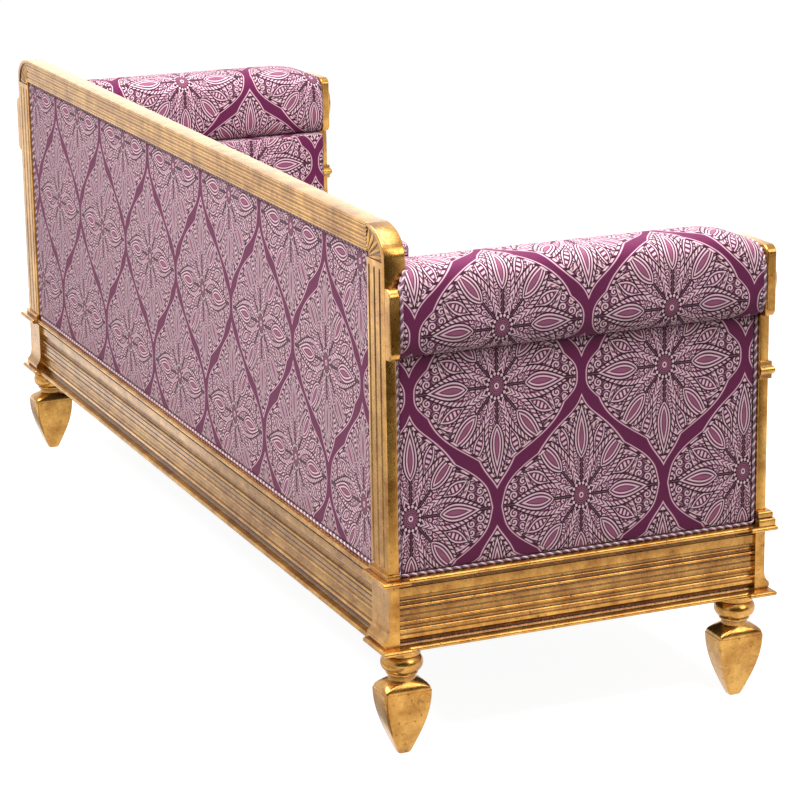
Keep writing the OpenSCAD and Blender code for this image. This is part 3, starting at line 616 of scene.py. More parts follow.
def lead(path, section, ease=0.8, hollow=None):
    """Leads a section round a plan path. Each stop is a place and the way out of it."""
    stops = [(Vector(place), Vector(out), 0.0) for place, out in path]
    first = (stops[1][0] - stops[0][0]).normalized()
    last = (stops[-2][0] - stops[-1][0]).normalized()
    start = [(stops[0][0] + first*d, stops[0][1], inward) for d, inward in ((0, ease), (ease, 0))]
    end = [(stops[-1][0] + last*d, stops[-1][1], inward) for d, inward in ((ease, 0), (0, ease))]
    rings = []
    for place, out, inward in start + stops[1:-1] + end:
        flat = inset(section, inward) if inward else section
        rings.append([(place.x + out.x*a, place.y + out.y*a, b) for a, b in flat])
    return loft(rings, hollow)


def turned_solid(profile, centre, axis="Z", steps=48, hollow=None):
    """Spins a profile of radius and height round an axis through a centre."""
    rings = []
    for r, h in profile:
        ring = [(r*math.cos(2*math.pi*i/steps), r*math.sin(2*math.pi*i/steps), h) for i in range(steps)]
        if axis == "Y":
            ring = [(a, h, b) for a, b, _ in ring]
        rings.append([(a + centre[0], b + centre[1], c + centre[2]) for a, b, c in ring])
    points, faces, _ = loft(rings)
    depth = hollow or [0.0]*len(profile)
    return points, faces, [d for d in depth for _ in range(steps)]


# %% Making an object of the solids
# the mirror that turns the +X +Y corner into each other corner
CORNERS = {"rear_right": (1, 1), "rear_left": (-1, 1), "front_right": (1, -1), "front_left": (-1, -1)}
SIDES = {"right": 1, "left": -1}
CRISP = 32.0  # degrees past which an edge shows


def close(mesh, slivers=False):
    """Merges a mesh's doubled points, drops its slivers if asked, and turns its faces outwards."""
    shape = bmesh.new()
    shape.from_mesh(mesh)
    bmesh.ops.remove_doubles(shape, verts=shape.verts, dist=SAME)
    if slivers:
        bmesh.ops.dissolve_degenerate(shape, edges=shape.edges, dist=SAME/10)
    bmesh.ops.recalc_face_normals(shape, faces=shape.faces)
    shape.to_mesh(mesh)
    shape.free()


def shade(mesh, crisp):
    """Smooth shading, broken where two faces meet at more than an angle."""
    mesh.shade_smooth()
    mesh.set_sharp_from_angle(angle=math.radians(crisp))


def outcome(made):
    """The mesh that an object's modifiers give."""
    return bpy.data.meshes.new_from_object(made.evaluated_get(bpy.context.evaluated_depsgraph_get()))


def make(name, solids, finish, mirror=(1, 1), crisp=CRISP):
    """One object of several closed solids, given in millimetres for the corner at +X +Y."""
    points, faces, depths = [], [], []
    for solid_points, solid_faces, hollow in solids:
        first = len(points)
        points += [(x*mirror[0]*MM, y*mirror[1]*MM, z*MM) for x, y, z in solid_points]
        faces += [[i + first for i in face] for face in solid_faces]
        depths += hollow
    mesh = bpy.data.meshes.new(name)
    mesh.from_pydata(points, [], faces)
    mesh.attributes.new("painted_shade", "FLOAT", "POINT").data.foreach_set("value", depths)
    close(mesh, slivers=True)
    shade(mesh, crisp)
    mesh.materials.append(finish)
    return put(name, mesh)


def fit(made, node, body="frame"):
    """Fixes a piece to its body in the place of a CAD node, and hides that node if one is given."""
    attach(made, body)
    if node:
        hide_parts(node)
    print(f"{made.name}: {len(made.data.polygons)} faces")


def gild(name, solids, node, mirror=(1, 1), crisp=CRISP):
    """A gilt piece of several solids in the place of a CAD node."""
    fit(make(name, solids, gilt, mirror, crisp), node)


# %% [markdown]
# ## The moulded base
#
# The base is four rails between four corner blocks. A rail is a built-up moulding: half-round lips at
# the foot and the top, two coves, two beads, flat bands and scratched lines. It is run from one outline,
# and its lips stop a little short of the rail's ends, where the corner block's own lips take over.

# %% The rail's outline
# faces of the corner posts: outer, rear, inner and front, for the corner at +X +Y
POST_X, POST_Y, POST_IN_X, POST_BACK_Y = 1009.0, 341.5, 938.0, 323.5
RAIL_X, RAIL_Y, RAIL_T = 1001.0, 333.5, 28.0
FOOT_H, BASE_TOP, LIP_T = 180.0, 304.0, 9.0
RAIL_LIP, BLOCK_LIP = 13.0, 16.0


def lip(inner, reach, z):
    """Outline of a half-round lip."""
    r = LIP_T/2
    return [(inner, z)] + arc(reach - r, z + r, r, r, -90, 90, 10) + [(inner, z + LIP_T)]


# the heights of the rail's coves, beads, scratched lines, flat bands and dip, then their sizes
FOOT_COVE_Z, COVE_Z, BEADS = 194.5, 217.2, (227.7, 254.4)
LINES, FLATS = (239.8, 249.8, 259.0, 289.7), ((201.3, 207.5), (271.8, 286.6))
COVE_HALF, COVE_R, COVE_OUT, BEAD_R, LINE_R, FLAT_OUT = 6.06, 7.0, 3.5, 2.9, 1.5, 2.6
DIP, DIP_DEEP, FOOT_COVE_LOW = (261.2, 271.2), 2.4, 5.5


def cove(z, offsets):
    """Points of a cove round a height, at offsets from it."""
    return [(COVE_OUT - math.sqrt(COVE_R**2 - d*d), z + d) for d in offsets]


features = sorted(
    [(COVE_Z, cove(COVE_Z, [COVE_HALF*k/5 for k in range(-5, 6)]))]
    + [(z, arc(0, z, BEAD_R, BEAD_R, -90, 90, 6)) for z in BEADS]
    + [(z, [(-a, b) for a, b in arc(0, z, LINE_R, LINE_R, -90, 90, 4)]) for z in LINES]
    + [(low, [(0, low), (FLAT_OUT, low + 0.5), (FLAT_OUT, high - 0.5), (0, high)]) for low, high in FLATS]
    + [(DIP[0], arc(0, (DIP[0] + DIP[1])/2, -DIP_DEEP, (DIP[1] - DIP[0])/2, -90, 90, 8))])
foot_cove = cove(FOOT_COVE_Z, [-FOOT_COVE_LOW + (COVE_HALF + FOOT_COVE_LOW)*k/5 for k in range(6)])
face_line = lip(-RAIL_T, RAIL_LIP, FOOT_H)[:-1] + foot_cove
for _, points in features:
    face_line += points
top_lip = lip(0, RAIL_LIP, BASE_TOP - LIP_T)
face_line += top_lip[:-1] + [(-RAIL_T, BASE_TOP)]
rail_hollow = hollows(face_line)
# more painted shade in the cove over the foot lip
for i, (out, z) in enumerate(face_line):
    if FOOT_H + LIP_T < z < FOOT_COVE_Z + 3 and out > -RAIL_T:
        rail_hollow[i] = min(0.8, rail_hollow[i] + 0.4)
LIP_POINTS = 12
lips = list(range(LIP_POINTS)) + list(range(len(face_line) - LIP_POINTS, len(face_line)))
plain_line = [(min(out, 0.0) if i in lips else out, z) for i, (out, z) in enumerate(face_line)]

# %% Four rails
RAIL_LIP_SHORT, END_LIP_SHORT = 4.0, 15.0


def moulded_rail(place, half, lip_half):
    """A rail through its stations, its lips drawn back near both ends."""
    stations = [(-half, plain_line), (-lip_half, plain_line), (-lip_half, face_line),
                (lip_half, face_line), (lip_half, plain_line), (half, plain_line)]
    return loft([[place(t, out, z) for out, z in line] for t, line in stations], rail_hollow)


for side, name in ((1, "rear"), (-1, "front")):
    solid = moulded_rail(lambda t, out, z: (t, RAIL_Y + out, z), POST_IN_X, POST_IN_X - RAIL_LIP_SHORT)
    gild("base_moulding_" + name, [solid], "base_rail_" + name, (1, side))
for name, side in SIDES.items():
    solid = moulded_rail(lambda t, out, z: (RAIL_X + out, t, z), POST_BACK_Y, POST_BACK_Y - END_LIP_SHORT)
    gild("base_moulding_" + name, [solid], "base_rail_" + name, (side, 1))

# %% [markdown]
# ## Corner blocks
#
# Each corner block is a flat board that closes the rails' ends. Over its foot lip the board flares into
# a fat half-round, a torus, and under its top lip there is a small cove. Its two lips turn the corner
# with a mitre, so they are led round a path and not run straight.

# %% Corner blocks
TORUS_R, TORUS_SHARE, TOP_COVE = 10.0, 0.8, 8.0
FLARE_FROM, FLARE_H, FLARE_TURN = 30.0, 22.0, 250
CORE_X, CORE_Y, POST_LAP = 992.7, 262.5, -8
SHY = 0.4  # how far a solid stops short of its neighbour's face
torus_z = FOOT_H + LIP_T + TORUS_R*TORUS_SHARE
under = BASE_TOP - LIP_T
low_turn = -math.degrees(math.asin(TORUS_SHARE))
flare = math.radians(FLARE_TURN)
flare_w = TORUS_R*math.cos(math.radians(FLARE_FROM))/(1 + math.cos(flare))
flare_z = torus_z + TORUS_R*math.sin(math.radians(FLARE_FROM)) - FLARE_H*math.sin(flare)
board_line = eased(
    [(POST_BACK_Y, FOOT_H + SHY), (POST_Y, FOOT_H + SHY)]
    + arc(POST_Y, torus_z, TORUS_R, TORUS_R, low_turn, FLARE_FROM, 6)
    + arc(POST_Y + flare_w, flare_z, flare_w, FLARE_H, FLARE_TURN, 180, 6)[1:]
    + arc(POST_Y + TOP_COVE, under - TOP_COVE, TOP_COVE, TOP_COVE, 180, 90, 6)
    + [(POST_Y + TOP_COVE, BASE_TOP - SHY), (POST_BACK_Y, BASE_TOP - SHY)], 0.8)
board_hollow = hollows(board_line)
core_line = [(POST_IN_X, CORE_Y), (CORE_X, CORE_Y), (CORE_X, POST_BACK_Y + 1),
             (POST_IN_X, POST_BACK_Y + 1)]
lip_path = [((POST_IN_X - RAIL_LIP_SHORT, POST_Y), (0, 1)), ((POST_X, POST_Y), (1, 1)),
            ((POST_X, POST_BACK_Y - END_LIP_SHORT), (1, 0))]
for name, mirror in CORNERS.items():
    solids = [run("X", POST_IN_X, POST_X, board_line, 0.3, board_hollow),
              run("Z", FOOT_H + SHY, BASE_TOP - SHY, core_line)]
    for z in (FOOT_H, BASE_TOP - LIP_T):
        solids.append(lead(lip_path, lip(POST_LAP, BLOCK_LIP, z)))
    gild("base_corner_" + name, solids, "corner_block_" + name, mirror)

# %% [markdown]
# ## Feet
#
# A foot is turned at the top and shaped below: a collar like a flattened ball over a thin bead and a
# neck, then a four-sided body that swells to a crisp shoulder and tapers to a small toe. The body is
# lofted through rounded oblongs. Above a narrow ledge at the shoulder they turn into ellipses and then
# into the neck's circle, as the four flat sides run into a spun top. The collar is spun.

# %% The foot's sizes, and a rounded oblong
# the body's half widths along X and Y at its toe and its shoulder, then its heights and its neck
FOOT_X, FOOT_Y = 982.0, {1: 310.0, -1: 300.5}
TOE, SHOULDER, NECK_R, NECK_TOP = (8.0, 10.0), (29.0, 41.5), 22.0, 136.6
SHOULDER_Z, LEDGE, LEDGE_H, DOME_H, DOME_BEND = 109.5, 0.9, 0.3, 19.0, 2.5
TOE_EASE, TOE_RISE, CORNER, CORNER_SWELL = 1.5, 1.2, 3, 2
# the bead and the collar that are turned above it, each with its place and its radii
BEAD_IN, BEAD_Z, NECK_BEAD_R = 23.5, 139.65, 3
COLLAR_Z, COLLAR_CORE, COLLAR_RX, COLLAR_RZ = 156.75, 13.0, 22.0, 19.0
CAP_IN, CAP_LOW, CAP_R = 28.3, 171, 1.4


def oblong(cx, cy, hx, hy, corner, z, roundness=0.0, steps=6):
    """A rounded oblong at a height, anticlockwise from above. At roundness 1 it is an ellipse."""
    corner = min(corner, hx, hy)
    ring = []
    for sx, sy, start in ((1, 1, 0), (-1, 1, 90), (-1, -1, 180), (1, -1, 270)):
        x, y = cx + sx*(hx - corner), cy + sy*(hy - corner)
        square = arc(x, y, corner, corner, start, start + 90, steps)
        ellipse = arc(cx, cy, hx, hy, start, start + 90, steps)
        ring += [(x + (u - x)*roundness, y + (v - y)*roundness, z)
                 for (x, y), (u, v) in zip(square, ellipse)]
    return ring


# %% Feet
def foot_body(cy):
    """The four-sided body, lofted from its toe up into the neck's circle."""
    rings = [oblong(FOOT_X, cy, TOE[0] - TOE_EASE, TOE[1] - TOE_EASE, CORNER, 0)]
    for i in range(17):
        swell = math.sin(math.radians(90*i/16))
        hx, hy = (TOE[k] + (SHOULDER[k] - TOE[k])*swell for k in (0, 1))
        z = max(TOE_RISE, SHOULDER_Z*i/16)
        rings.append(oblong(FOOT_X, cy, hx, hy, CORNER + CORNER_SWELL*swell, z))
    for i in range(13):
        rise = i/12
        hx, hy = (SHOULDER[k] - LEDGE + (NECK_R - SHOULDER[k] + LEDGE)*rise**DOME_BEND for k in (0, 1))
        z = SHOULDER_Z + LEDGE_H + DOME_H*rise
        rings.append(oblong(FOOT_X, cy, hx, hy, CORNER + CORNER_SWELL, z, rise**2))
    rings.append(oblong(FOOT_X, cy, NECK_R - 1, NECK_R - 1, NECK_R, z + 1, 1.0))
    return loft(rings)


neck_low = SHOULDER_Z + LEDGE_H + DOME_H - 2
cap_x, cap_z = CAP_IN + CAP_R - 0.1, CAP_LOW + CAP_R
collar_line = ([(0, neck_low), (NECK_R, neck_low), (NECK_R, NECK_TOP)]
               + arc(BEAD_IN, BEAD_Z, NECK_BEAD_R, NECK_BEAD_R, -90, 70, 8)
               + arc(COLLAR_CORE, COLLAR_Z, COLLAR_RX, COLLAR_RZ, -50, 46, 16)
               + [(CAP_IN, CAP_LOW)] + arc(cap_x, cap_z, CAP_R, CAP_R, -90, 0, 3)
               + [(cap_x + CAP_R, FOOT_H), (0, FOOT_H)])
# painted shade: how deep in a hollow each point of the collar lies
collar_hollow = ([0, 0, 0.5] + [0.6, 0.35, 0.1, 0, 0, 0, 0.15, 0.5, 0.8]
                 + [0.8, 0.3] + [0]*14 + [0.3] + [0.8, 0.3, 0, 0, 0, 0, 0])
for name, mirror in CORNERS.items():
    cy = FOOT_Y[mirror[1]]
    collar = turned_solid(collar_line, (FOOT_X, cy, 0), hollow=collar_hollow)
    gild("turned_foot_" + name, [foot_body(cy), collar], "foot_" + name, mirror, 40)

# %% [markdown]
# ## Back posts
#
# A back post is a flat board with three flutes down its rear face. Its head swells forward in a round
# lobe where the arm's roll meets it, its outer top corner is rounded over, and a quarter fan is carved
# beside the crest. All of that is one loft up the post: at each height a plan outline says how wide and
# how deep the post is and how far the flutes are cut. Only the fan's ground is cut out afterwards.

# %% Back posts
CREST_Z, TOP_Z, CREST_IN_Y, POST_W, CREST_H = 824.0, 869.0, 306.0, 71.0, 45.0
FLUTE_SHARES, FLUTE_R, FLUTE_HALF, FLUTE_SKIM = (0.26, 0.555, 0.85), 3.5, 3.35, 1.0
FLUTE_LOW, FLUTE_TOP = 318.0, 806.0
FLUTE_END = [(0, 0), (0.3, 0.35), (1, 0.7), (3, 1)]  # distance from a flute's end, share of its depth
LOBE_Z, LOBE_ROUND, LOBE_TOE_Y = 774.0, 25.0, 327.0
CUTS = [i/4 for i in range(-4, 5)]


def post_plan(z, wide, front_y, flute):
    """A back post's plan outline: its points, and how hollow each one is."""
    x = POST_IN_X + wide
    soft = min(1.4, wide*0.3)
    points = (arc(POST_IN_X + soft, front_y + soft, soft, soft, 180, 270, 3)
              + arc(x - soft, front_y + soft, soft, soft, 270, 360, 3)
              + arc(x - soft, POST_Y - soft, soft, soft, 0, 90, 3))
    depth = [0.0]*len(points)
    for share in FLUTE_SHARES:
        middle = POST_IN_X + wide*(1 - share)
        for t in CUTS:
            cut = (math.sqrt(FLUTE_R**2 - (t*FLUTE_HALF)**2) - FLUTE_SKIM)*flute
            points.append((middle - t*FLUTE_HALF*wide/POST_W, POST_Y - cut))
            # painted shade in the flutes, by how deep the cut is
            depth.append(min(0.6, cut/3.4))
    points += arc(POST_IN_X + soft, POST_Y - soft, soft, soft, 90, 180, 3)
    depth += [0.0]*4
    return [(a, b, z) for a, b in points], depth


# %% The post's loft
stations = [(BASE_TOP + 0.3, POST_W, POST_BACK_Y, 0)]
stations += [(FLUTE_LOW + d, POST_W, POST_BACK_Y, cut) for d, cut in FLUTE_END]
stations.append((LOBE_Z + 0.3, POST_W, POST_BACK_Y, 1))
for angle in range(80, -1, -10):
    turn = math.radians(angle)
    stations.append((LOBE_Z + LOBE_ROUND*(1 - math.sin(turn)), POST_W,
                     LOBE_TOE_Y - (LOBE_TOE_Y - CREST_IN_Y)*math.cos(turn), 1))
stations += [(FLUTE_TOP - d, POST_W, CREST_IN_Y, cut) for d, cut in FLUTE_END[::-1]]
stations.append((CREST_Z, POST_W, CREST_IN_Y, 0))
for angle in range(4, 89, 4):
    turn = math.radians(angle)
    stations.append((CREST_Z + CREST_H*math.sin(turn), POST_W*math.cos(turn), CREST_IN_Y, 0))
rings, depths = [], []
for station in stations:
    ring, depth = post_plan(*station)
    rings.append(ring)
    depths += depth
points, faces, _ = loft(rings)
post_board = (points, faces, depths)

# %% The fan
# a quarter of an ellipse sunk in the rear face, with five domed petals on its ground
FAN_X, FAN_Z, FAN_REACH, FAN_DEEP = POST_IN_X, 816.0, (62.0, 48.0), 2.4
PETALS, PETAL_WIDE, PETAL_RISE, PETAL_THIN, PETAL_STEPS = 5, 15.5, 2.3, 0.02, 14


def fan_point(share, angle):
    """A point of the fan, by its share of the way out from the corner and its angle."""
    turn = math.radians(angle)
    return FAN_X + share*FAN_REACH[0]*math.cos(turn), FAN_Z + share*FAN_REACH[1]*math.sin(turn)


fan_line = [fan_point(0, 0)] + [fan_point(1, 6*i) for i in range(16)]
fan_cutter = make("fan_cutter", [run("Y", POST_Y - FAN_DEEP, POST_Y + 5, fan_line, 0)], gilt)


def petal_solid(middle):
    """One domed petal of the fan, thin at both ends and fullest short of its middle."""
    rings = []
    for k in range(PETAL_STEPS + 1):
        t = k/PETAL_STEPS
        share = 0.14 + 0.82*t
        plump = PETAL_THIN
        if 0 < k < PETAL_STEPS:
            plump = max(PETAL_THIN, math.sin(math.pi*min(1, 0.1 + 0.9*t**0.8))**0.5)
        ring = []
        for j in range(9):
            turn = math.radians(180*j/8)
            x, z = fan_point(share, middle - PETAL_WIDE/2*math.cos(turn)*min(1, plump*1.1))
            ring.append((x, POST_Y - FAN_DEEP + PETAL_RISE*plump*math.sin(turn), z))
        ring.append((ring[-1][0], POST_Y - FAN_DEEP - 1, ring[-1][2]))
        ring.append((ring[0][0], POST_Y - FAN_DEEP - 1, ring[0][2]))
        rings.append(ring)
    # painted shade at the petals' feet, where they meet the fan's ground
    depth = [0.9, 0.5, 0.1, 0, 0, 0, 0.1, 0.5, 0.9, 1, 1]
    return loft(rings, depth)


petals = [petal_solid((i + 0.5)*90/PETALS) for i in range(PETALS)]

# %% Back posts with their steps and stiles
STEP_LOW, STEP_IN, STEP_OUT, STEP_TOP = 304.2, -6, 5, 313
ARM_TOP_Z = 664.0
STILE_X, STILE_Y = (945, 985), (283.5, 324)
step_path = [((POST_IN_X, POST_Y), (0, 1)), ((POST_X, POST_Y), (1, 1)), ((POST_X, POST_BACK_Y), (1, 0))]
back_step = lead(step_path, eased([(STEP_IN, STEP_LOW), (STEP_OUT, STEP_LOW), (STEP_OUT, STEP_TOP),
                                   (STEP_IN, STEP_TOP)], 1.5))
stile = run("Z", BASE_TOP + SHY, ARM_TOP_Z, [(STILE_X[0], STILE_Y[0]), (STILE_X[1], STILE_Y[0]),
                                             (STILE_X[1], STILE_Y[1]), (STILE_X[0], STILE_Y[1])])
for name, side in SIDES.items():
    post = make("carved_post_" + name, [post_board], gilt)
    cut = post.modifiers.new("fan", "BOOLEAN")
    cut.object, cut.solver = fan_cutter, "EXACT"
    carved = outcome(post)
    post.modifiers.remove(cut)
    shape = bmesh.new()
    shape.from_mesh(carved)
    depth_layer = shape.verts.layers.float.get("painted_shade")
    # painted shade on the fan's sunk ground
    for vert in shape.verts:
        x, y, z = (c/MM for c in vert.co)
        if z > FAN_Z - 1 and CREST_IN_Y + 5 < y < POST_Y - 1 and x < FAN_X + FAN_REACH[0] + 1:
            vert[depth_layer] = 0.55
    for points, faces, depths in petals + [back_step, stile]:
        made = [shape.verts.new([c*MM for c in p]) for p in points]
        for vert, depth in zip(made, depths):
            vert[depth_layer] = depth
        for face in faces:
            shape.faces.new([made[i] for i in face])
    for vert in shape.verts:
        vert.co.x *= side
    shape.to_mesh(post.data)
    shape.free()
    close(post.data)
    shade(post.data, CRISP)
    fit(post, "back_post_" + name)
bpy.data.objects.remove(fan_cutter)

# %% [markdown]
# ## Front posts, rings, ears and blocks
#
# The front posts are plain boards with a stepped foot and a ring moulding, both led round the post with
# mitres. On top of each sits a block with round corners that closes the padded roll, and the back post
# has a smaller one, the ear, for the roll's other end.

# %% Front posts, rings, ears and blocks
RING_Z, RING_HALF, RING_R, RING_FILLET = 571.0, 15.0, 8.5, 4.0
EAR_REACH, EAR_H, BLOCK_H, BLOCK_R = 20.0, 115.0, 120.0, 14.0
edge = math.sqrt(RING_R**2 - RING_FILLET**2)
wrap_angle = math.degrees(math.asin(edge/RING_R))
ring_line = eased([(-1, RING_Z - RING_HALF), (RING_FILLET, RING_Z - RING_HALF)]
                  + arc(0, RING_Z, RING_R, RING_R, -wrap_angle, wrap_angle, 12)
                  + [(RING_FILLET, RING_Z + RING_HALF), (-1, RING_Z + RING_HALF)], 1.0)
step_line = eased([(STEP_IN, STEP_LOW), (12.5, STEP_LOW)] + arc(8, STEP_TOP, 4.5, 4.5, 0, 90, 6)
                  + [(7.4, 318), (9, 318.4)] + arc(4.5, 325, 4.5, 4.5, 0, 90, 6) + [(STEP_IN, 330)], 1.0)
ring_path = [((POST_IN_X, POST_BACK_Y), (-1, 0)), ((POST_IN_X, POST_Y), (-1, 1)),
             ((POST_X, POST_Y), (1, 1)), ((POST_X, POST_BACK_Y), (1, 0))]
post_line = eased([(POST_IN_X, POST_BACK_Y), (POST_X, POST_BACK_Y), (POST_X, POST_Y),
                   (POST_IN_X, POST_Y)], 1.6)
block_half, block_x = POST_W/2 + EAR_REACH, POST_X - POST_W/2
low, high = ARM_TOP_Z, ARM_TOP_Z + BLOCK_H
ends = (block_x - block_half + BLOCK_R, block_x + block_half - BLOCK_R)
block_line = []
for x, z, start in ((ends[0], low + BLOCK_R, 180), (ends[1], low + BLOCK_R, 270),
                    (ends[1], high - BLOCK_R, 0), (ends[0], high - BLOCK_R, 90)):
    block_line += arc(x, z, BLOCK_R, BLOCK_R, start, start + 90, 8)
ear_x, ear_top = POST_X + EAR_REACH - BLOCK_R, ARM_TOP_Z + EAR_H
ear_line = ([(POST_X, ARM_TOP_Z)] + arc(ear_x, ARM_TOP_Z + BLOCK_R, BLOCK_R, BLOCK_R, 270, 360, 8)
            + arc(ear_x, ear_top - BLOCK_R, BLOCK_R, BLOCK_R, 0, 90, 8) + [(POST_X, ear_top)])
step_hollow, ring_hollow = hollows(step_line), hollows(ring_line)
for name, side in SIDES.items():
    front = (side, -1)
    solids = [run("Z", BASE_TOP + 0.3, ARM_TOP_Z - 0.2, post_line),
              lead(step_path, step_line, 0.8, step_hollow), stile]
    gild("plain_post_" + name, solids, "front_post_" + name, front)
    gild("ring_moulding_" + name, [lead(ring_path, ring_line, 0.8, ring_hollow)],
         "post_ring_" + name, front)
    block, ear = (run("Y", POST_BACK_Y, POST_Y, line, ease)
                  for line, ease in ((block_line, 2.2), (ear_line, 2.0)))
    gild("roll_block_" + name, [block], "arm_block_" + name, front)
    gild("roll_ear_" + name, [ear], "arm_ear_" + name, (side, 1))

# %% [markdown]
# ## Rosettes
#
# A turned rosette closes the front of each block: a rim bead, a hollow, and a domed boss, with a ring
# of leaves laid in the hollow. The leaves are all alike, so Geometry Nodes place them: one leaf, put on
# each point of a circle and turned to face outwards. Their count and place are inputs of the tree.

# %% Geometry Nodes: a ring of leaves
def geometry_tree(name, inputs):
    """An empty geometry tree: the tree, its inputs, its result socket and the ids of its inputs."""
    tree = bpy.data.node_groups.new(name, "GeometryNodeTree")
    tree.interface.new_socket("Geometry", in_out="OUTPUT", socket_type="NodeSocketGeometry")
    ids = {"Geometry": tree.interface.new_socket(
        "Geometry", in_out="INPUT", socket_type="NodeSocketGeometry").identifier}
    for key, kind in inputs.items():
        ids[key] = tree.interface.new_socket(
            key, in_out="INPUT", socket_type="NodeSocket" + kind).identifier
    given, result = tree.nodes.new("NodeGroupInput"), tree.nodes.new("NodeGroupOutput")
    return tree, given.outputs, result.inputs["Geometry"], ids


def send_out(tree, shape, finish, result):
    """Makes a tree's shape real, gives it its finish and sends it out."""
    shape = add(tree, "RealizeInstances", shape)
    shape = add(tree, "SetMaterial", shape, named={"Material": finish})
    tree.links.new(shape, result)


def grow(base, tree, ids, values, crisp):
    """Runs a geometry tree on an object and keeps the result as its plain mesh."""
    live = base.modifiers.new(tree.name, "NODES")
    live.node_group = tree
    for key, value in values.items():
        live[ids[key]] = value
    made = outcome(base)
    base.modifiers.remove(live)
    base.data = made
    shade(made, crisp)


tree, given, result, leaf_ids = geometry_tree("ring of leaves", {
    "Count": "Int", "Reach": "Float", "Length": "Float", "Width": "Float", "Height": "Float",
    "Finish": "Material"})
circle = add(tree, "MeshCircle", given["Count"], given["Reach"])
leaf = add(tree, "MeshUVSphere", 10, 7, 1.0)
size = add(tree, "CombineXYZ", given["Length"], given["Width"], given["Height"])
leaf = add(tree, "Transform", leaf, named={"Scale": size})
outward = add(tree, "InputPosition")
facing = add(tree, "AlignRotationToVector", None, 1.0, outward, axis="X", pivot_axis="Z")
leaves = add(tree, "InstanceOnPoints", circle, named={"Instance": leaf, "Rotation": facing})
send_out(tree, leaves, given["Finish"], result)
leaf_ring = tree

# %% Rosettes
ROSETTE_X, ROSETTE_Z, ROSETTE_R, ROSETTE_T, BOSS_R, BOSS_T = 973.5, 724.0, 46.0, 8.0, 13.0, 14.0
RIM_R, HOLLOW_Z, HOLLOW_DEEP = 4, 7.4, 4.6
LEAVES, LEAF_SIZE, LEAF_OUT = 14, (9.6, 4.2, 3.4), 3.6
hollow_half = (ROSETTE_R - ROSETTE_T - BOSS_R)/2
hollow_r = BOSS_R + hollow_half
turns = [math.radians(a) for a in range(15, 166, 15)]
profile = ([(0, 0), (ROSETTE_R - 0.6, 0)] + arc(ROSETTE_R - RIM_R, RIM_R, RIM_R, RIM_R, -60, 110, 12)
           + [(hollow_r + hollow_half*math.cos(a), HOLLOW_Z - HOLLOW_DEEP*math.sin(a)) for a in turns]
           + arc(0, RIM_R, BOSS_R - 0.5, BOSS_T - RIM_R, 12, 90, 9))
# painted shade in the rosette's hollow and round the foot of its boss
depth = [0]*14 + [0.3] + [0.5 + 0.4*math.sin(a) for a in turns] + [0.8, 0.2] + [0]*8
disc = [(r, -h) for r, h in profile]
spun = turned_solid(disc, (ROSETTE_X, -POST_Y, ROSETTE_Z), "Y", 56, depth)
for name, side in SIDES.items():
    gild("rosette_disc_" + name, [spun], "rosette_" + name, (side, 1), 40)
    base = put("rosette_leaves_" + name, bpy.data.meshes.new("leaves"))
    length, width, height = (size*MM for size in LEAF_SIZE)
    grow(base, leaf_ring, leaf_ids, {
        "Count": LEAVES, "Reach": hollow_r*MM, "Length": length, "Width": width, "Height": height,
        "Finish": gilt}, 40)
    place = (side*ROSETTE_X*MM, -(POST_Y + LEAF_OUT)*MM, ROSETTE_Z*MM)
    base.data.transform(Matrix.Translation(place) @ Matrix.Rotation(math.radians(90), 4, "X"))
    fit(base, None)

# %% [markdown]
# ## The crest rail
#
# The crest is a bar with scratched reeds on both long faces. It is run from one outline, like the rails.

# %% Crest rail
# the radius of each scratch, and the shares of the crest's height at which it lies
REEDS = {1.9: (0.22, 0.5, 0.78), 0.9: (0.1, 0.36, 0.64, 0.9)}


def reeded(y, way, upward):
    """One face of the crest, bottom to top or top to bottom, with its scratched reeds."""
    marks = [(CREST_Z + CREST_H*share, r) for r, shares in REEDS.items() for share in shares]
    points = []
    for z, r in sorted(marks):
        points += [(y - way*a, b) for a, b in arc(0, z, r, r, -90, 90, 6)]
    return points if upward else points[::-1]


crest_line = eased(
    [(CREST_IN_Y, CREST_Z), (POST_Y, CREST_Z)] + reeded(POST_Y, 1, True)
    + [(POST_Y, TOP_Z), (CREST_IN_Y, TOP_Z)] + reeded(CREST_IN_Y, -1, False), 1.0)
# faint painted shade in the crest's reeds
crest_hollow = [0.4*depth for depth in hollows(crest_line)]
crest_solid = run("X", -POST_IN_X + 0.15, POST_IN_X - 0.15, crest_line, 1.0, crest_hollow)
gild("crest_moulding", [crest_solid], "crest_rail")

# %% [markdown]
# ## Upholstered panels
#
# The outside back, the outside and inside arms, the seat deck and the inside back are boards or pads
# with the cloth pulled over them. Each is a soft block: a box divided into a grid that is finest at its
# edges, its edges rolled over, and its show face crowned. Very slow waves of less than a millimetre
# keep the cloth from looking like a board. Every face gets its place on the cloth in metres, so the
# figure keeps its true size and runs the right way up.

# %% Soft blocks
WAVE_LONG = 140  # millimetres from one slow wave of the cloth to the next


def sew(name, points, faces, places):
    """A cloth object: its points in millimetres, and each face corner's place on the cloth in metres."""
    mesh = bpy.data.meshes.new(name)
    mesh.from_pydata([(x*MM, y*MM, z*MM) for x, y, z in points], [], faces)
    layer = mesh.uv_layers.new(name="cloth")
    layer.data.foreach_set("uv", [c for place in places for c in place])
    mesh.materials.append(figured)
    close(mesh)
    mesh.shade_smooth()
    return put(name, mesh)


def block_marks(low, high, roll, cell):
    """The grid lines of a soft block along each axis, closest where its edges roll over."""
    marks = []
    for a, b in zip(low, high):
        near = [0.0, 0.12*roll, 0.32*roll, 0.62*roll, roll]
        count = max(2, round((b - a - 2*roll)/cell))
        inner = [a + roll + (b - a - 2*roll)*i/count for i in range(1, count)]
        marks.append([a + e for e in near] + inner + [b - e for e in near[::-1]])
    return marks


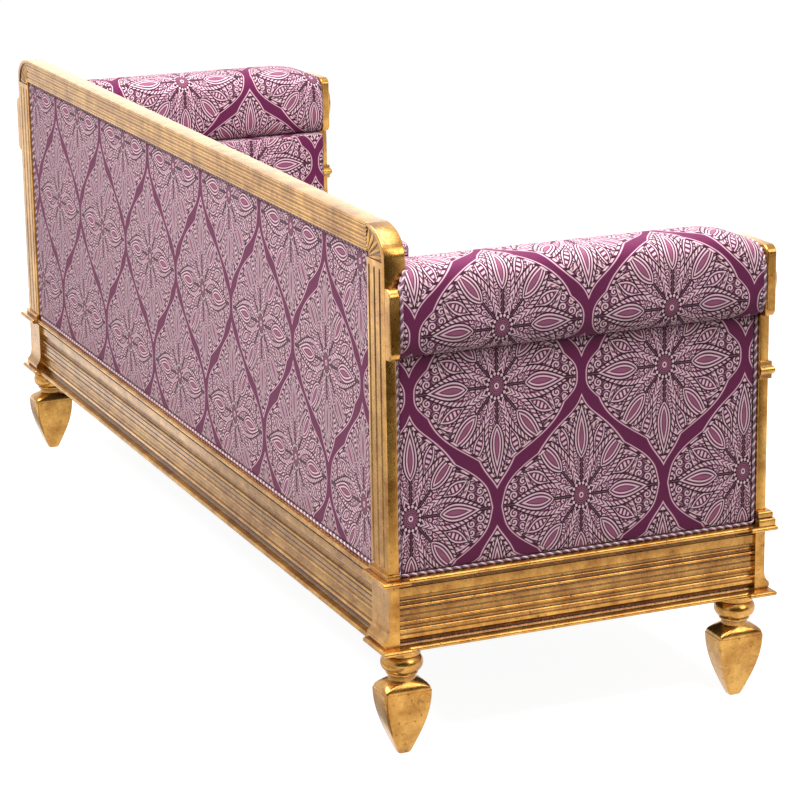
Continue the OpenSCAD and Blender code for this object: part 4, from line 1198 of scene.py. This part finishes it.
def soft_block(name, low, high, roll, cell, crowns=(), wave=0.35):
    """A padded box. A crown is an axis, a side of -1 or 1, and how far its middle rises."""
    marks = block_marks(low, high, roll, cell)
    points, faces, places = [], [], []
    for axis in range(3):
        s, t = [i for i in range(3) if i != axis]
        for end in (0, -1):
            first, n = len(points), len(marks[t])
            for a in marks[s]:
                for b in marks[t]:
                    spot = [0.0]*3
                    spot[axis], spot[s], spot[t] = marks[axis][end], a, b
                    points.append(spot)
            for i in range(len(marks[s]) - 1):
                for j in range(n - 1):
                    face = [first + i*n + j, first + (i + 1)*n + j, first + (i + 1)*n + j + 1,
                            first + i*n + j + 1]
                    faces.append(face)
                    places += [(points[k][s]*MM, points[k][t]*MM) for k in face]
    shaped = []
    for spot in points:
        core = Vector(min(max(c, a + roll), b - roll) for c, a, b in zip(spot, low, high))
        away = Vector(spot) - core
        place = core + away.normalized()*roll if away.length > 0 else Vector(spot)
        share = [2*(c - a)/(b - a) - 1 for c, a, b in zip(spot, low, high)]
        for axis, side, rise in crowns:
            if (spot[axis] - (high if side > 0 else low)[axis])*side > -0.01:
                s, t = [i for i in range(3) if i != axis]
                swell = (1 - abs(share[s])**3)*(1 - abs(share[t])**3)
                ripple = wave*noise.noise(Vector(spot)/WAVE_LONG)*(1 - share[s]**8)*(1 - share[t]**8)
                place[axis] += side*(rise*swell + ripple)
        shaped.append(place)
    return sew(name, shaped, faces, places)


# %% Outside back, outside arms, inside arms, deck and inside back
# the low and the high corner of each block, then the roll of its edges and the cell of its grid
back = soft_block("outside_back_cover", (-931.5, 323.6, 310.5), (931.5, 336.5, 817.5), 4.5, 24,
                  [(1, 1, 2.5)])
fit(back, "outside_back")
deck = soft_block("seat_deck_cover", (-904.5, -333.0, 304.2), (904.5, 287.0, 323.8), 8, 30)
fit(deck, "seat_deck")
inside = soft_block("inside_back_pad", (-904.5, 250.5, 324.5), (904.5, 287.2, 823.5), 13, 22,
                    [(1, -1, 8.0)], 1.0)
fit(inside, "inside_back")
for name, side in SIDES.items():
    low, high = sorted((side*985.0, side*1003.5))
    arm = soft_block("outside_arm_cover_" + name, (low, -317.3, 310.5), (high, 317.3, 663.7), 5, 20,
                     [(0, side, 2.0)])
    fit(arm, "outside_arm_" + name)
    low, high = sorted((side*906.5, side*945.0))
    arm = soft_block("inside_arm_pad_" + name, (low, -323.3, 304.2), (high, 287.0, 663.5), 9, 20,
                     [(0, -side, 1.8)], 0.8)
    fit(arm, "inside_arm_" + name)

# %% [markdown]
# ## Arm rolls
#
# A padded roll lies along each arm. Its section is a round-cornered oblong, a superellipse, and it falls
# off a little towards its front end, where the block is lower. It could be simulated, but it is stuffed
# hard and tied down at both ends, so it is lofted from its section. At its rear it is notched round the
# back. The cloth is laid round it, so its place on the cloth is measured along the section.

# %% The roll's section
ROLL_IN_X, ROLL_OUT_X, ROLL_H, ROLL_SINK, ROLL_POWER, ROLL_DROP = 905.0, 1029.0, 146.0, 4.0, 3.4, 95.0
ROLL_END, ROLL_POINTS = 323.3, 96
NOTCH_LOW_Y, NOTCH_HIGH_Y, NOTCH_Z = 287.0, 305.6, 773.4
EAR_TOP, LOBE_SWELL_Z, END_REACH = 779.0, 812.0, 9.0


def roll_height(y):
    """The roll's height over the arm, less towards its front end."""
    over = max(0.0, (-y - POST_BACK_Y + ROLL_DROP)/ROLL_DROP)
    return ROLL_H - (ROLL_H - BLOCK_H)*over*over


def roll_section(y, draw=0.0):
    """The roll's outline at a place along the arm, from the middle of its underside and round."""
    half = (ROLL_OUT_X - ROLL_IN_X)/2
    height = roll_height(y) + ROLL_SINK
    middle = (ROLL_IN_X + half, ARM_TOP_Z - ROLL_SINK + height/2)
    outline = []
    for i in range(ROLL_POINTS):
        turn = math.radians(-90 + 360*i/ROLL_POINTS)
        c, s = math.cos(turn), math.sin(turn)
        x = middle[0] + (half - draw)*math.copysign(abs(c)**(2/ROLL_POWER), c)
        z = middle[1] + (height/2 - draw)*math.copysign(abs(s)**(2/ROLL_POWER), s)
        outline.append((x, max(z, ARM_TOP_Z + 0.2)))
    return outline


def roll_limit(x, z):
    """How far back the roll's cloth reaches at a point of its outline: short of the back and the lobe."""
    if x < POST_IN_X + 0.3:
        return NOTCH_LOW_Y
    if x < POST_X + 0.3:
        return NOTCH_HIGH_Y if z > NOTCH_Z else ROLL_END
    share = min(1.0, max(0.0, (z - EAR_TOP)/(LOBE_SWELL_Z - EAR_TOP)))
    return ROLL_END - (ROLL_END - NOTCH_HIGH_Y)*share


# %% The roll's rings
# the distance from the roll's end at which a ring lies, and how far it is drawn in there
ROLL_EASE = [(0, 7), (0.8, 4.2), (2.4, 2), (5, 0.6), (9, 0)]
ROLL_MIDDLE = Vector(((ROLL_IN_X + ROLL_OUT_X)/2, ARM_TOP_Z + ROLL_H/2))
PLUMP, PLUMP_LONG, PROUD = 0.6, 70, 0.4
stops = [(ROLL_END - d, draw) for d, draw in ROLL_EASE] + [(d - ROLL_END, draw) for d, draw in ROLL_EASE]
for edge in (NOTCH_HIGH_Y, NOTCH_LOW_Y):
    stops += [(edge + 0.2, 0), (edge - 0.2, 0)]
stops += [(y, 0) for y in (300, 295, 291, 284, 279, *range(272, -300, -12))]
stops.sort(reverse=True)
rings = []
for y, draw in stops:
    ring = []
    for x, z in roll_section(y, draw):
        limit = roll_limit(x, z) - min(ROLL_END - y, END_REACH)
        loose = draw == 0 and z > ARM_TOP_Z + 1
        swell = PLUMP*noise.noise(Vector((x, y, z))/PLUMP_LONG) if loose else 0.0
        out = (Vector((x, z)) - ROLL_MIDDLE).normalized()*swell
        ring.append((x + min(out.x, ROLL_OUT_X + PROUD - x), min(y, limit), z + out.y))
    rings.append(ring)
along = [0.0]
middle = rings[len(rings)//2]
for i in range(ROLL_POINTS):
    along.append(along[-1] + (Vector(middle[(i + 1) % ROLL_POINTS]) - Vector(middle[i])).length)
print("cloth round a roll:", round(along[-1]), "mm")

# %% Arm rolls
ROLL_SHIFT = 118.0  # puts a rosette of the figure on the roll's side
for name, side in SIDES.items():
    points = [(x*side, y, z) for ring in rings for x, y, z in ring]
    faces, places = [], []
    n = ROLL_POINTS
    for k in range(len(rings) - 1):
        for i in range(n):
            faces.append((k*n + i, k*n + (i + 1) % n, (k + 1)*n + (i + 1) % n, (k + 1)*n + i))
            for row, step in ((k, 0), (k, 1), (k + 1, 1), (k + 1, 0)):
                run_y, run_up = rings[row][(i + step) % n][1], along[i + step] + ROLL_SHIFT
                places.append((-side*run_y*MM, run_up*MM))
    for k in (0, len(rings) - 1):
        faces.append([k*n + i for i in range(n)])
        places += [(rings[k][i][0]*MM, rings[k][i][2]*MM) for i in range(n)]
    roll = sew("arm_roll_cover_" + name, points, faces, places)
    roll.data.set_sharp_from_angle(angle=math.radians(60))
    fit(roll, "arm_roll_" + name)

# %% [markdown]
# ## The seat cushion
#
# The loose seat cushion is a boxed one: a top, a bottom and a border sewn together along corded seams.
# It is the softest piece, so Blender's cloth solver fills it. The block is remeshed into an even grid,
# the seams are held still, and air pressure swells the panels between them. How far a point may move is
# capped, and the underside and the ends stay flat where they lie on the deck and against the arms. Inside
# it lies its block of foam, a little smaller than the cover and rounder at the edges.

# %% The cushion's air
CUSHION_LOW, CUSHION_HIGH = Vector((-899.5, -331.0, 324.6)), Vector((899.5, 237.0, 443.0))
CUSHION_LIMIT = (Vector((-902.5, -338.0, 324.4)), Vector((902.5, 240.5, 457.0)))
SEAM_IN, VOXEL, PRESSURE, CAP, FRAMES = 9.0, 9.0, 4.0, 20.0, 20
SEAM_HOLD = SEAM_IN*0.8
seams = (CUSHION_LOW.z + SEAM_IN, CUSHION_HIGH.z - SEAM_IN)


def even_grid(block):
    """The block's shape on an even grid, as the cloth solver likes it. The block is removed."""
    remesh = block.modifiers.new("even grid", "REMESH")
    remesh.mode, remesh.voxel_size = "VOXEL", VOXEL*MM
    even = outcome(block)
    bpy.data.objects.remove(block)
    return even


def blow_up(cushion):
    """Swells a cushion with air, its seams held still, and gives the mesh after the last frame."""
    held = []
    for v in cushion.data.vertices:
        x, y, z = v.co/MM
        rim = min(x - CUSHION_LOW.x, CUSHION_HIGH.x - x, y - CUSHION_LOW.y, CUSHION_HIGH.y - y)
        if rim < SEAM_IN and min(abs(z - seam) for seam in seams) < SEAM_HOLD:
            held.append(v.index)
    cushion.vertex_groups.new(name="still").add(held, 1.0, "REPLACE")
    air = cushion.modifiers.new("air", "CLOTH")
    air.settings.quality = 4
    air.settings.use_pressure = True
    air.settings.uniform_pressure_force = PRESSURE
    air.settings.vertex_group_mass = "still"
    air.settings.effector_weights.gravity = 0
    air.point_cache.frame_start, air.point_cache.frame_end = 1, FRAMES
    scene = bpy.context.scene
    for step in range(1, FRAMES + 1):
        scene.frame_set(step)
    filled = outcome(cushion)
    cushion.modifiers.remove(air)
    scene.frame_set(1)
    return filled


# %% The cushion's limits and its place on the cloth
def hold_back(filled, rest):
    """Caps how far each point has moved from its rest, and keeps it inside the limits."""
    moved = 0.0
    for v, start in zip(filled.vertices, rest):
        way = v.co - start
        if way.length > CAP*MM:
            way *= CAP*MM/way.length
        place = start + way
        for axis in range(3):
            place[axis] = min(max(place[axis], CUSHION_LIMIT[0][axis]*MM), CUSHION_LIMIT[1][axis]*MM)
        moved = max(moved, (place - start).length)
        v.co = place
    print("cushion points", len(filled.vertices), "largest move", round(moved/MM, 1), "mm")


def lay_cloth(filled):
    """Each face corner's place on the cloth: from above for the panels, from the side for the border."""
    layer = filled.uv_layers.new(name="cloth")
    for face in filled.polygons:
        z = face.center.z/MM
        flat = abs(face.normal.z) > 0.72 or not seams[0] - 2 < z < seams[1] + 2
        ends = abs(face.normal.x) > abs(face.normal.y)
        for loop in face.loop_indices:
            spot = filled.vertices[filled.loops[loop].vertex_index].co
            layer.data[loop].uv = spot.xy if flat else spot.yz if ends else spot.xz

# %% Seat cushion and its foam
FOAM_GAP = Vector((10.0, 10.0, 10.0))
block = soft_block("seat_block", CUSHION_LOW, CUSHION_HIGH, 12, 24, [(2, 1, 3.0)], 1.5)
cushion = put("seat_cushion", even_grid(block))
rest = [v.co.copy() for v in cushion.data.vertices]
cushion.data = blow_up(cushion)
cushion.vertex_groups.clear()
hold_back(cushion.data, rest)
lay_cloth(cushion.data)
cushion.data.materials.append(figured)
cushion.data.shade_smooth()
finer = cushion.modifiers.new("finer", "SUBSURF")
finer.levels = finer.render_levels = 1
fit(cushion, "seat_cushion_cover", "seat_cushion")
foam = soft_block("seat_cushion_foam", CUSHION_LOW + FOAM_GAP, CUSHION_HIGH - FOAM_GAP, 20, 40,
                  [(2, 1, 5.0)], 0.0)
foam.data.materials[0] = cloths["cream cushion foam"]
fit(foam, "seat_cushion_core", "seat_cushion")

# %% [markdown]
# ## Twisted cord
#
# A two-ply cord is sewn into every seam of the show cloth. A row of beads would look right from one side
# only. So Geometry Nodes lead a section with two lobes along the seam and turn it once for each twist,
# which makes a real rope. The path is a chain of edges, the pitch and the radius are inputs, and the two
# plies carry a number that tells the material which of two colours of yarn to use. Rayon is smooth and
# has a soft sheen. A second number paints shade dark into the groove between the plies. The plies' real
# fibres are too fine to show.

# %% Cord material
cord_finish, tree, surface = material("twisted rayon cord")
ply = add(tree, "Attribute", attribute_name="strand").node.outputs["Fac"]
groove_shade = add(tree, "Attribute", attribute_name="painted_shade").node.outputs["Fac"]
place = add(tree, "TexCoord").node.outputs["Object"]
fibre = add(tree, "TexNoise", place, named={"Scale": 700.0, "Detail": 2.0})
yarn = add(tree, "Mix", ply, colour("#7a4a64"), colour("#dcc5ce"), data_type="RGBA")
# painted shade: dark in the groove between the plies
yarn = add(tree, "Mix", groove_shade, yarn, colour("#4a2438"), data_type="RGBA")
tone = add(tree, "MapRange", fibre, 0.3, 0.7, 0.85, 1.12)
yarn = add(tree, "HueSaturation", 0.5, 1.0, tone, 1.0, yarn)
tree.links.new(add(tree, "BsdfPrincipled", named={
    "Base Color": yarn, "Roughness": 0.55, "Sheen Weight": 0.3, "Sheen Roughness": 0.4}), surface)

# %% Geometry Nodes: a twisted cord
tree, given, result, cord_ids = geometry_tree("twisted cord", {
    "Radius": "Float", "Pitch": "Float", "Step": "Float", "Waist": "Float", "Finish": "Material"})
path = add(tree, "MeshToCurve", given["Geometry"])
path = add(tree, "ResampleCurve", path, named={"Length": given["Step"]}, mode="LENGTH")
travelled = add(tree, "SplineParameter").node.outputs["Length"]
turns = add(tree, "Math", travelled, given["Pitch"], operation="DIVIDE")
turns = add(tree, "Math", turns, 2*math.pi, operation="MULTIPLY")
path = add(tree, "SetCurveTilt", path, named={"Tilt": turns})
ring = add(tree, "CurvePrimitiveCircle", named={"Resolution": 12, "Radius": given["Radius"]})
spot = add(tree, "InputPosition")
side = add(tree, "SeparateXYZ", spot).node.outputs["X"]
side = add(tree, "Math", side, given["Radius"], operation="DIVIDE")
lobe = add(tree, "Math", side, operation="ABSOLUTE")
plump = add(tree, "MapRange", lobe, 0.0, 1.0, given["Waist"], 1.0)
strand = add(tree, "MapRange", side, -0.2, 0.2, 0.0, 1.0)
# the groove's painted shade, 0.8 at the waist between the plies and none on their crowns
groove_shade = add(tree, "MapRange", lobe, 0.0, 0.5, 0.8, 0.0)
for key, number in (("strand", strand), ("painted_shade", groove_shade)):
    ring = add(tree, "StoreNamedAttribute", ring, None, key, number, data_type="FLOAT", domain="POINT")
waisted = add(tree, "VectorMath", spot, operation="SCALE", named={"Scale": plump})
ring = add(tree, "SetPosition", ring, None, waisted)
rope = add(tree, "CurveToMesh", path, ring, named={"Fill Caps": True})
send_out(tree, rope, given["Finish"], result)
cord_tree = tree

# %% Cords on the seams
CORD_R, CORD_PITCH, CORD_WAIST = 3.0, 15.0, 0.6
BACK_CORD_Y, ARM_CORD_X, ARM_CORD_TOP = 335.2, 1002.2, 663.4
ROLL_CORD_IN, ROLL_CORD_DRAW, ROLL_CORD_LOW = 2.5, 1.5, (1015, 700)
SEAM_X, SEAM_OUT, SEAM_CORNER = 897.5, 3, 12


def cord(name, paths, node=None, body="frame", step=1.7):
    """A twisted cord along paths in millimetres. A path is its points, and True where it closes."""
    points, edges = [], []
    for path, closed in paths:
        first, count = len(points), len(path)
        points += [[c*MM for c in p] for p in path]
        edges += [(first + i, first + (i + 1) % count) for i in range(count if closed else count - 1)]
    print(name, "is", round(sum(math.dist(points[a], points[b]) for a, b in edges), 3), "m long")
    mesh = bpy.data.meshes.new(name)
    mesh.from_pydata(points, edges, [])
    made = put(name, mesh)
    grow(made, cord_tree, cord_ids, {"Radius": CORD_R*MM, "Pitch": CORD_PITCH*MM, "Step": step*MM,
                                     "Waist": CORD_WAIST, "Finish": cord_finish}, 50)
    fit(made, node, body)


def roll_end_path(side, end):
    """The line of the cord round the rear or front end of a roll, over its top and down its side."""
    path = []
    for x, z in roll_section(end*(ROLL_END - ROLL_CORD_IN), ROLL_CORD_DRAW):
        if x > POST_IN_X + 4 and (x > ROLL_CORD_LOW[0] or z > ROLL_CORD_LOW[1]):
            y = roll_limit(x, z) - ROLL_CORD_IN if end > 0 else ROLL_CORD_IN - ROLL_END
            path.append((side*x, y, z))
    return path


back_x, low_z, high_z = POST_IN_X - CORD_R, BASE_TOP + CORD_R, CREST_Z - CORD_R
loop = oblong(0, (low_z + high_z)/2, back_x, (high_z - low_z)/2, 3, 0, steps=3)
cord("back_cord", [([(x, BACK_CORD_Y, z) for x, z, _ in loop], True)], "back_piping")
for name, side in SIDES.items():
    x, y = side*ARM_CORD_X, POST_BACK_Y - CORD_R
    legs = [(x, y, ARM_CORD_TOP), (x, y, low_z + 3), (x, y - 1, low_z + 1), (x, y - 3, low_z)]
    legs += [(a, -b, c) for a, b, c in legs[::-1]]
    cord("arm_cord_" + name, [(legs, False)], "arm_piping_" + name)
    cord("roll_cord_" + name, [(roll_end_path(side, end), False) for end in (1, -1)])
middle_y, seam_y = (CUSHION_HIGH.y + CUSHION_LOW.y)/2, (CUSHION_HIGH.y - CUSHION_LOW.y)/2 - 1
loops = [(oblong(0, middle_y, SEAM_X, seam_y, SEAM_CORNER, z), True)
         for z in (seams[0] - SEAM_OUT, seams[1] + SEAM_OUT)]
cord("cushion_cord", loops, None, "seat_cushion", 2.6)

# %% [markdown]
# ## The dust cover
#
# Under the seat a thin black cloth is stretched from rail to rail and cut out round the feet. Stapled
# cloth never hangs dead flat, so it sags a few millimetres between the rails. It is one sheet, given its
# thickness by a modifier. Geometry Nodes place the staples: one wire crown at even steps along the edge.

# %% Dust cover
SHEET_X, SHEET_Y, SHEET_Z, SHEET_T, SHEET_SAG = 987.0, 319.5, 179.3, 0.9, 7.0
CUT_X, CUT_Y, UNEVEN, UNEVEN_LONG = 944.0, (-262.5, 272.0), 2.0, 180


def between(low, high, count):
    """Even steps from low to high."""
    return [low + (high - low)*i/count for i in range(count + 1)]


columns = between(-SHEET_X, -CUT_X, 2)[:-1] + between(-CUT_X, CUT_X, 60)[:-1] + between(CUT_X, SHEET_X, 2)
rows = between(-SHEET_Y, CUT_Y[0], 2)[:-1] + between(*CUT_Y, 16)[:-1] + between(CUT_Y[1], SHEET_Y, 2)


def sheet_height(x, y):
    """The sagging sheet's height, lowest in the middle and a little uneven."""
    share = (1 - (x/SHEET_X)**4)*(1 - (y/SHEET_Y)**2)
    return SHEET_Z - share*(SHEET_SAG + UNEVEN*noise.noise(Vector((x, y, 0))/UNEVEN_LONG))


points, faces = [(x, y, sheet_height(x, y)) for x in columns for y in rows], []
for i in range(len(columns) - 1):
    for j in range(len(rows) - 1):
        outer = not -CUT_X <= columns[i] < CUT_X
        if not (outer and not CUT_Y[0] <= rows[j] < CUT_Y[1]):
            corner = i*len(rows) + j
            faces.append((corner, corner + 1, corner + len(rows) + 1, corner + len(rows)))
mesh = bpy.data.meshes.new("dust_cover_sheet")
mesh.from_pydata([(x*MM, y*MM, z*MM) for x, y, z in points], [], faces)
shape = bmesh.new()
shape.from_mesh(mesh)
bmesh.ops.delete(shape, geom=[v for v in shape.verts if not v.link_faces], context="VERTS")
shape.to_mesh(mesh)
shape.free()
mesh.shade_smooth()
mesh.materials.append(cloths["black dust cloth"])
dust_sheet = put("dust_cover_sheet", mesh)
thick = dust_sheet.modifiers.new("thickness", "SOLIDIFY")
thick.thickness, thick.offset = SHEET_T*MM, 0.0
fit(dust_sheet, "dust_cover")

# %% Staples
tree, given, result, staple_ids = geometry_tree("row of staples", {
    "Step": "Float", "Half": "Float", "Radius": "Float", "Finish": "Material"})
edge_line = add(tree, "MeshToCurve", given["Geometry"])
stops = add(tree, "CurveToPoints", edge_line, named={"Length": given["Step"]}, mode="LENGTH")
turn = stops.node.outputs["Rotation"]
minus = add(tree, "Math", given["Half"], -1.0, operation="MULTIPLY")
crown = add(tree, "CurvePrimitiveLine", add(tree, "CombineXYZ", 0.0, 0.0, minus),
            add(tree, "CombineXYZ", 0.0, 0.0, given["Half"]))
wire = add(tree, "CurvePrimitiveCircle", named={"Resolution": 6, "Radius": given["Radius"]})
crown = add(tree, "CurveToMesh", crown, wire, named={"Fill Caps": True})
staples = add(tree, "InstanceOnPoints", stops, named={"Instance": crown, "Rotation": turn})
send_out(tree, staples, given["Finish"], result)
staple_tree = tree

STAPLE_INSET, STAPLE_STEP, STAPLE_HALF, STAPLE_R, STAPLE_SINK = 7.0, 55.0, 5.5, 0.6, 0.2
far_x, near_x = SHEET_X - STAPLE_INSET, CUT_X - STAPLE_INSET
low_y, high_y = SHEET_Y - STAPLE_INSET, (CUT_Y[0] + STAPLE_INSET, CUT_Y[1] - STAPLE_INSET)
edge_path = [(near_x, -low_y), (near_x, high_y[0]), (far_x, high_y[0]), (far_x, high_y[1]),
             (near_x, high_y[1]), (near_x, low_y)]
edge_path += [(-x, y) for x, y in edge_path[::-1]]
mesh = bpy.data.meshes.new("dust_cover_staples")
staple_z = SHEET_Z - SHEET_T/2 - STAPLE_SINK
mesh.from_pydata([(x*MM, y*MM, staple_z*MM) for x, y in edge_path],
                 [(i, (i + 1) % len(edge_path)) for i in range(len(edge_path))], [])
staple_row = put("dust_cover_staples", mesh)
grow(staple_row, staple_tree, staple_ids, {
    "Step": STAPLE_STEP*MM, "Half": STAPLE_HALF*MM, "Radius": STAPLE_R*MM, "Finish": zinc}, 50)
fit(staple_row, None)

# %% [markdown]
# ## The frame that the cloth hides
#
# The CAD pieces that nothing replaces keep their own meshes, and only get a finish.

# %% Finishes for the CAD pieces that stay
STAY = {
    "corner_brace_": planed, "seat_stretcher_": planed, "back_top_rail": planed,
    "back_lower_rail": planed, "back_upright_": planed, "arm_top_rail_": planed,
    "arm_lower_rail_": planed, "foot_bolts": zinc, "brace_bolts": zinc,
    "seat_webbing": cloths["woven jute webbing"],
}
for name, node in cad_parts.items():
    for start, finish in STAY.items():
        if name.startswith(start):
            node.data.materials.clear()
            node.data.materials.append(finish)
            print(name, "is", finish.name)
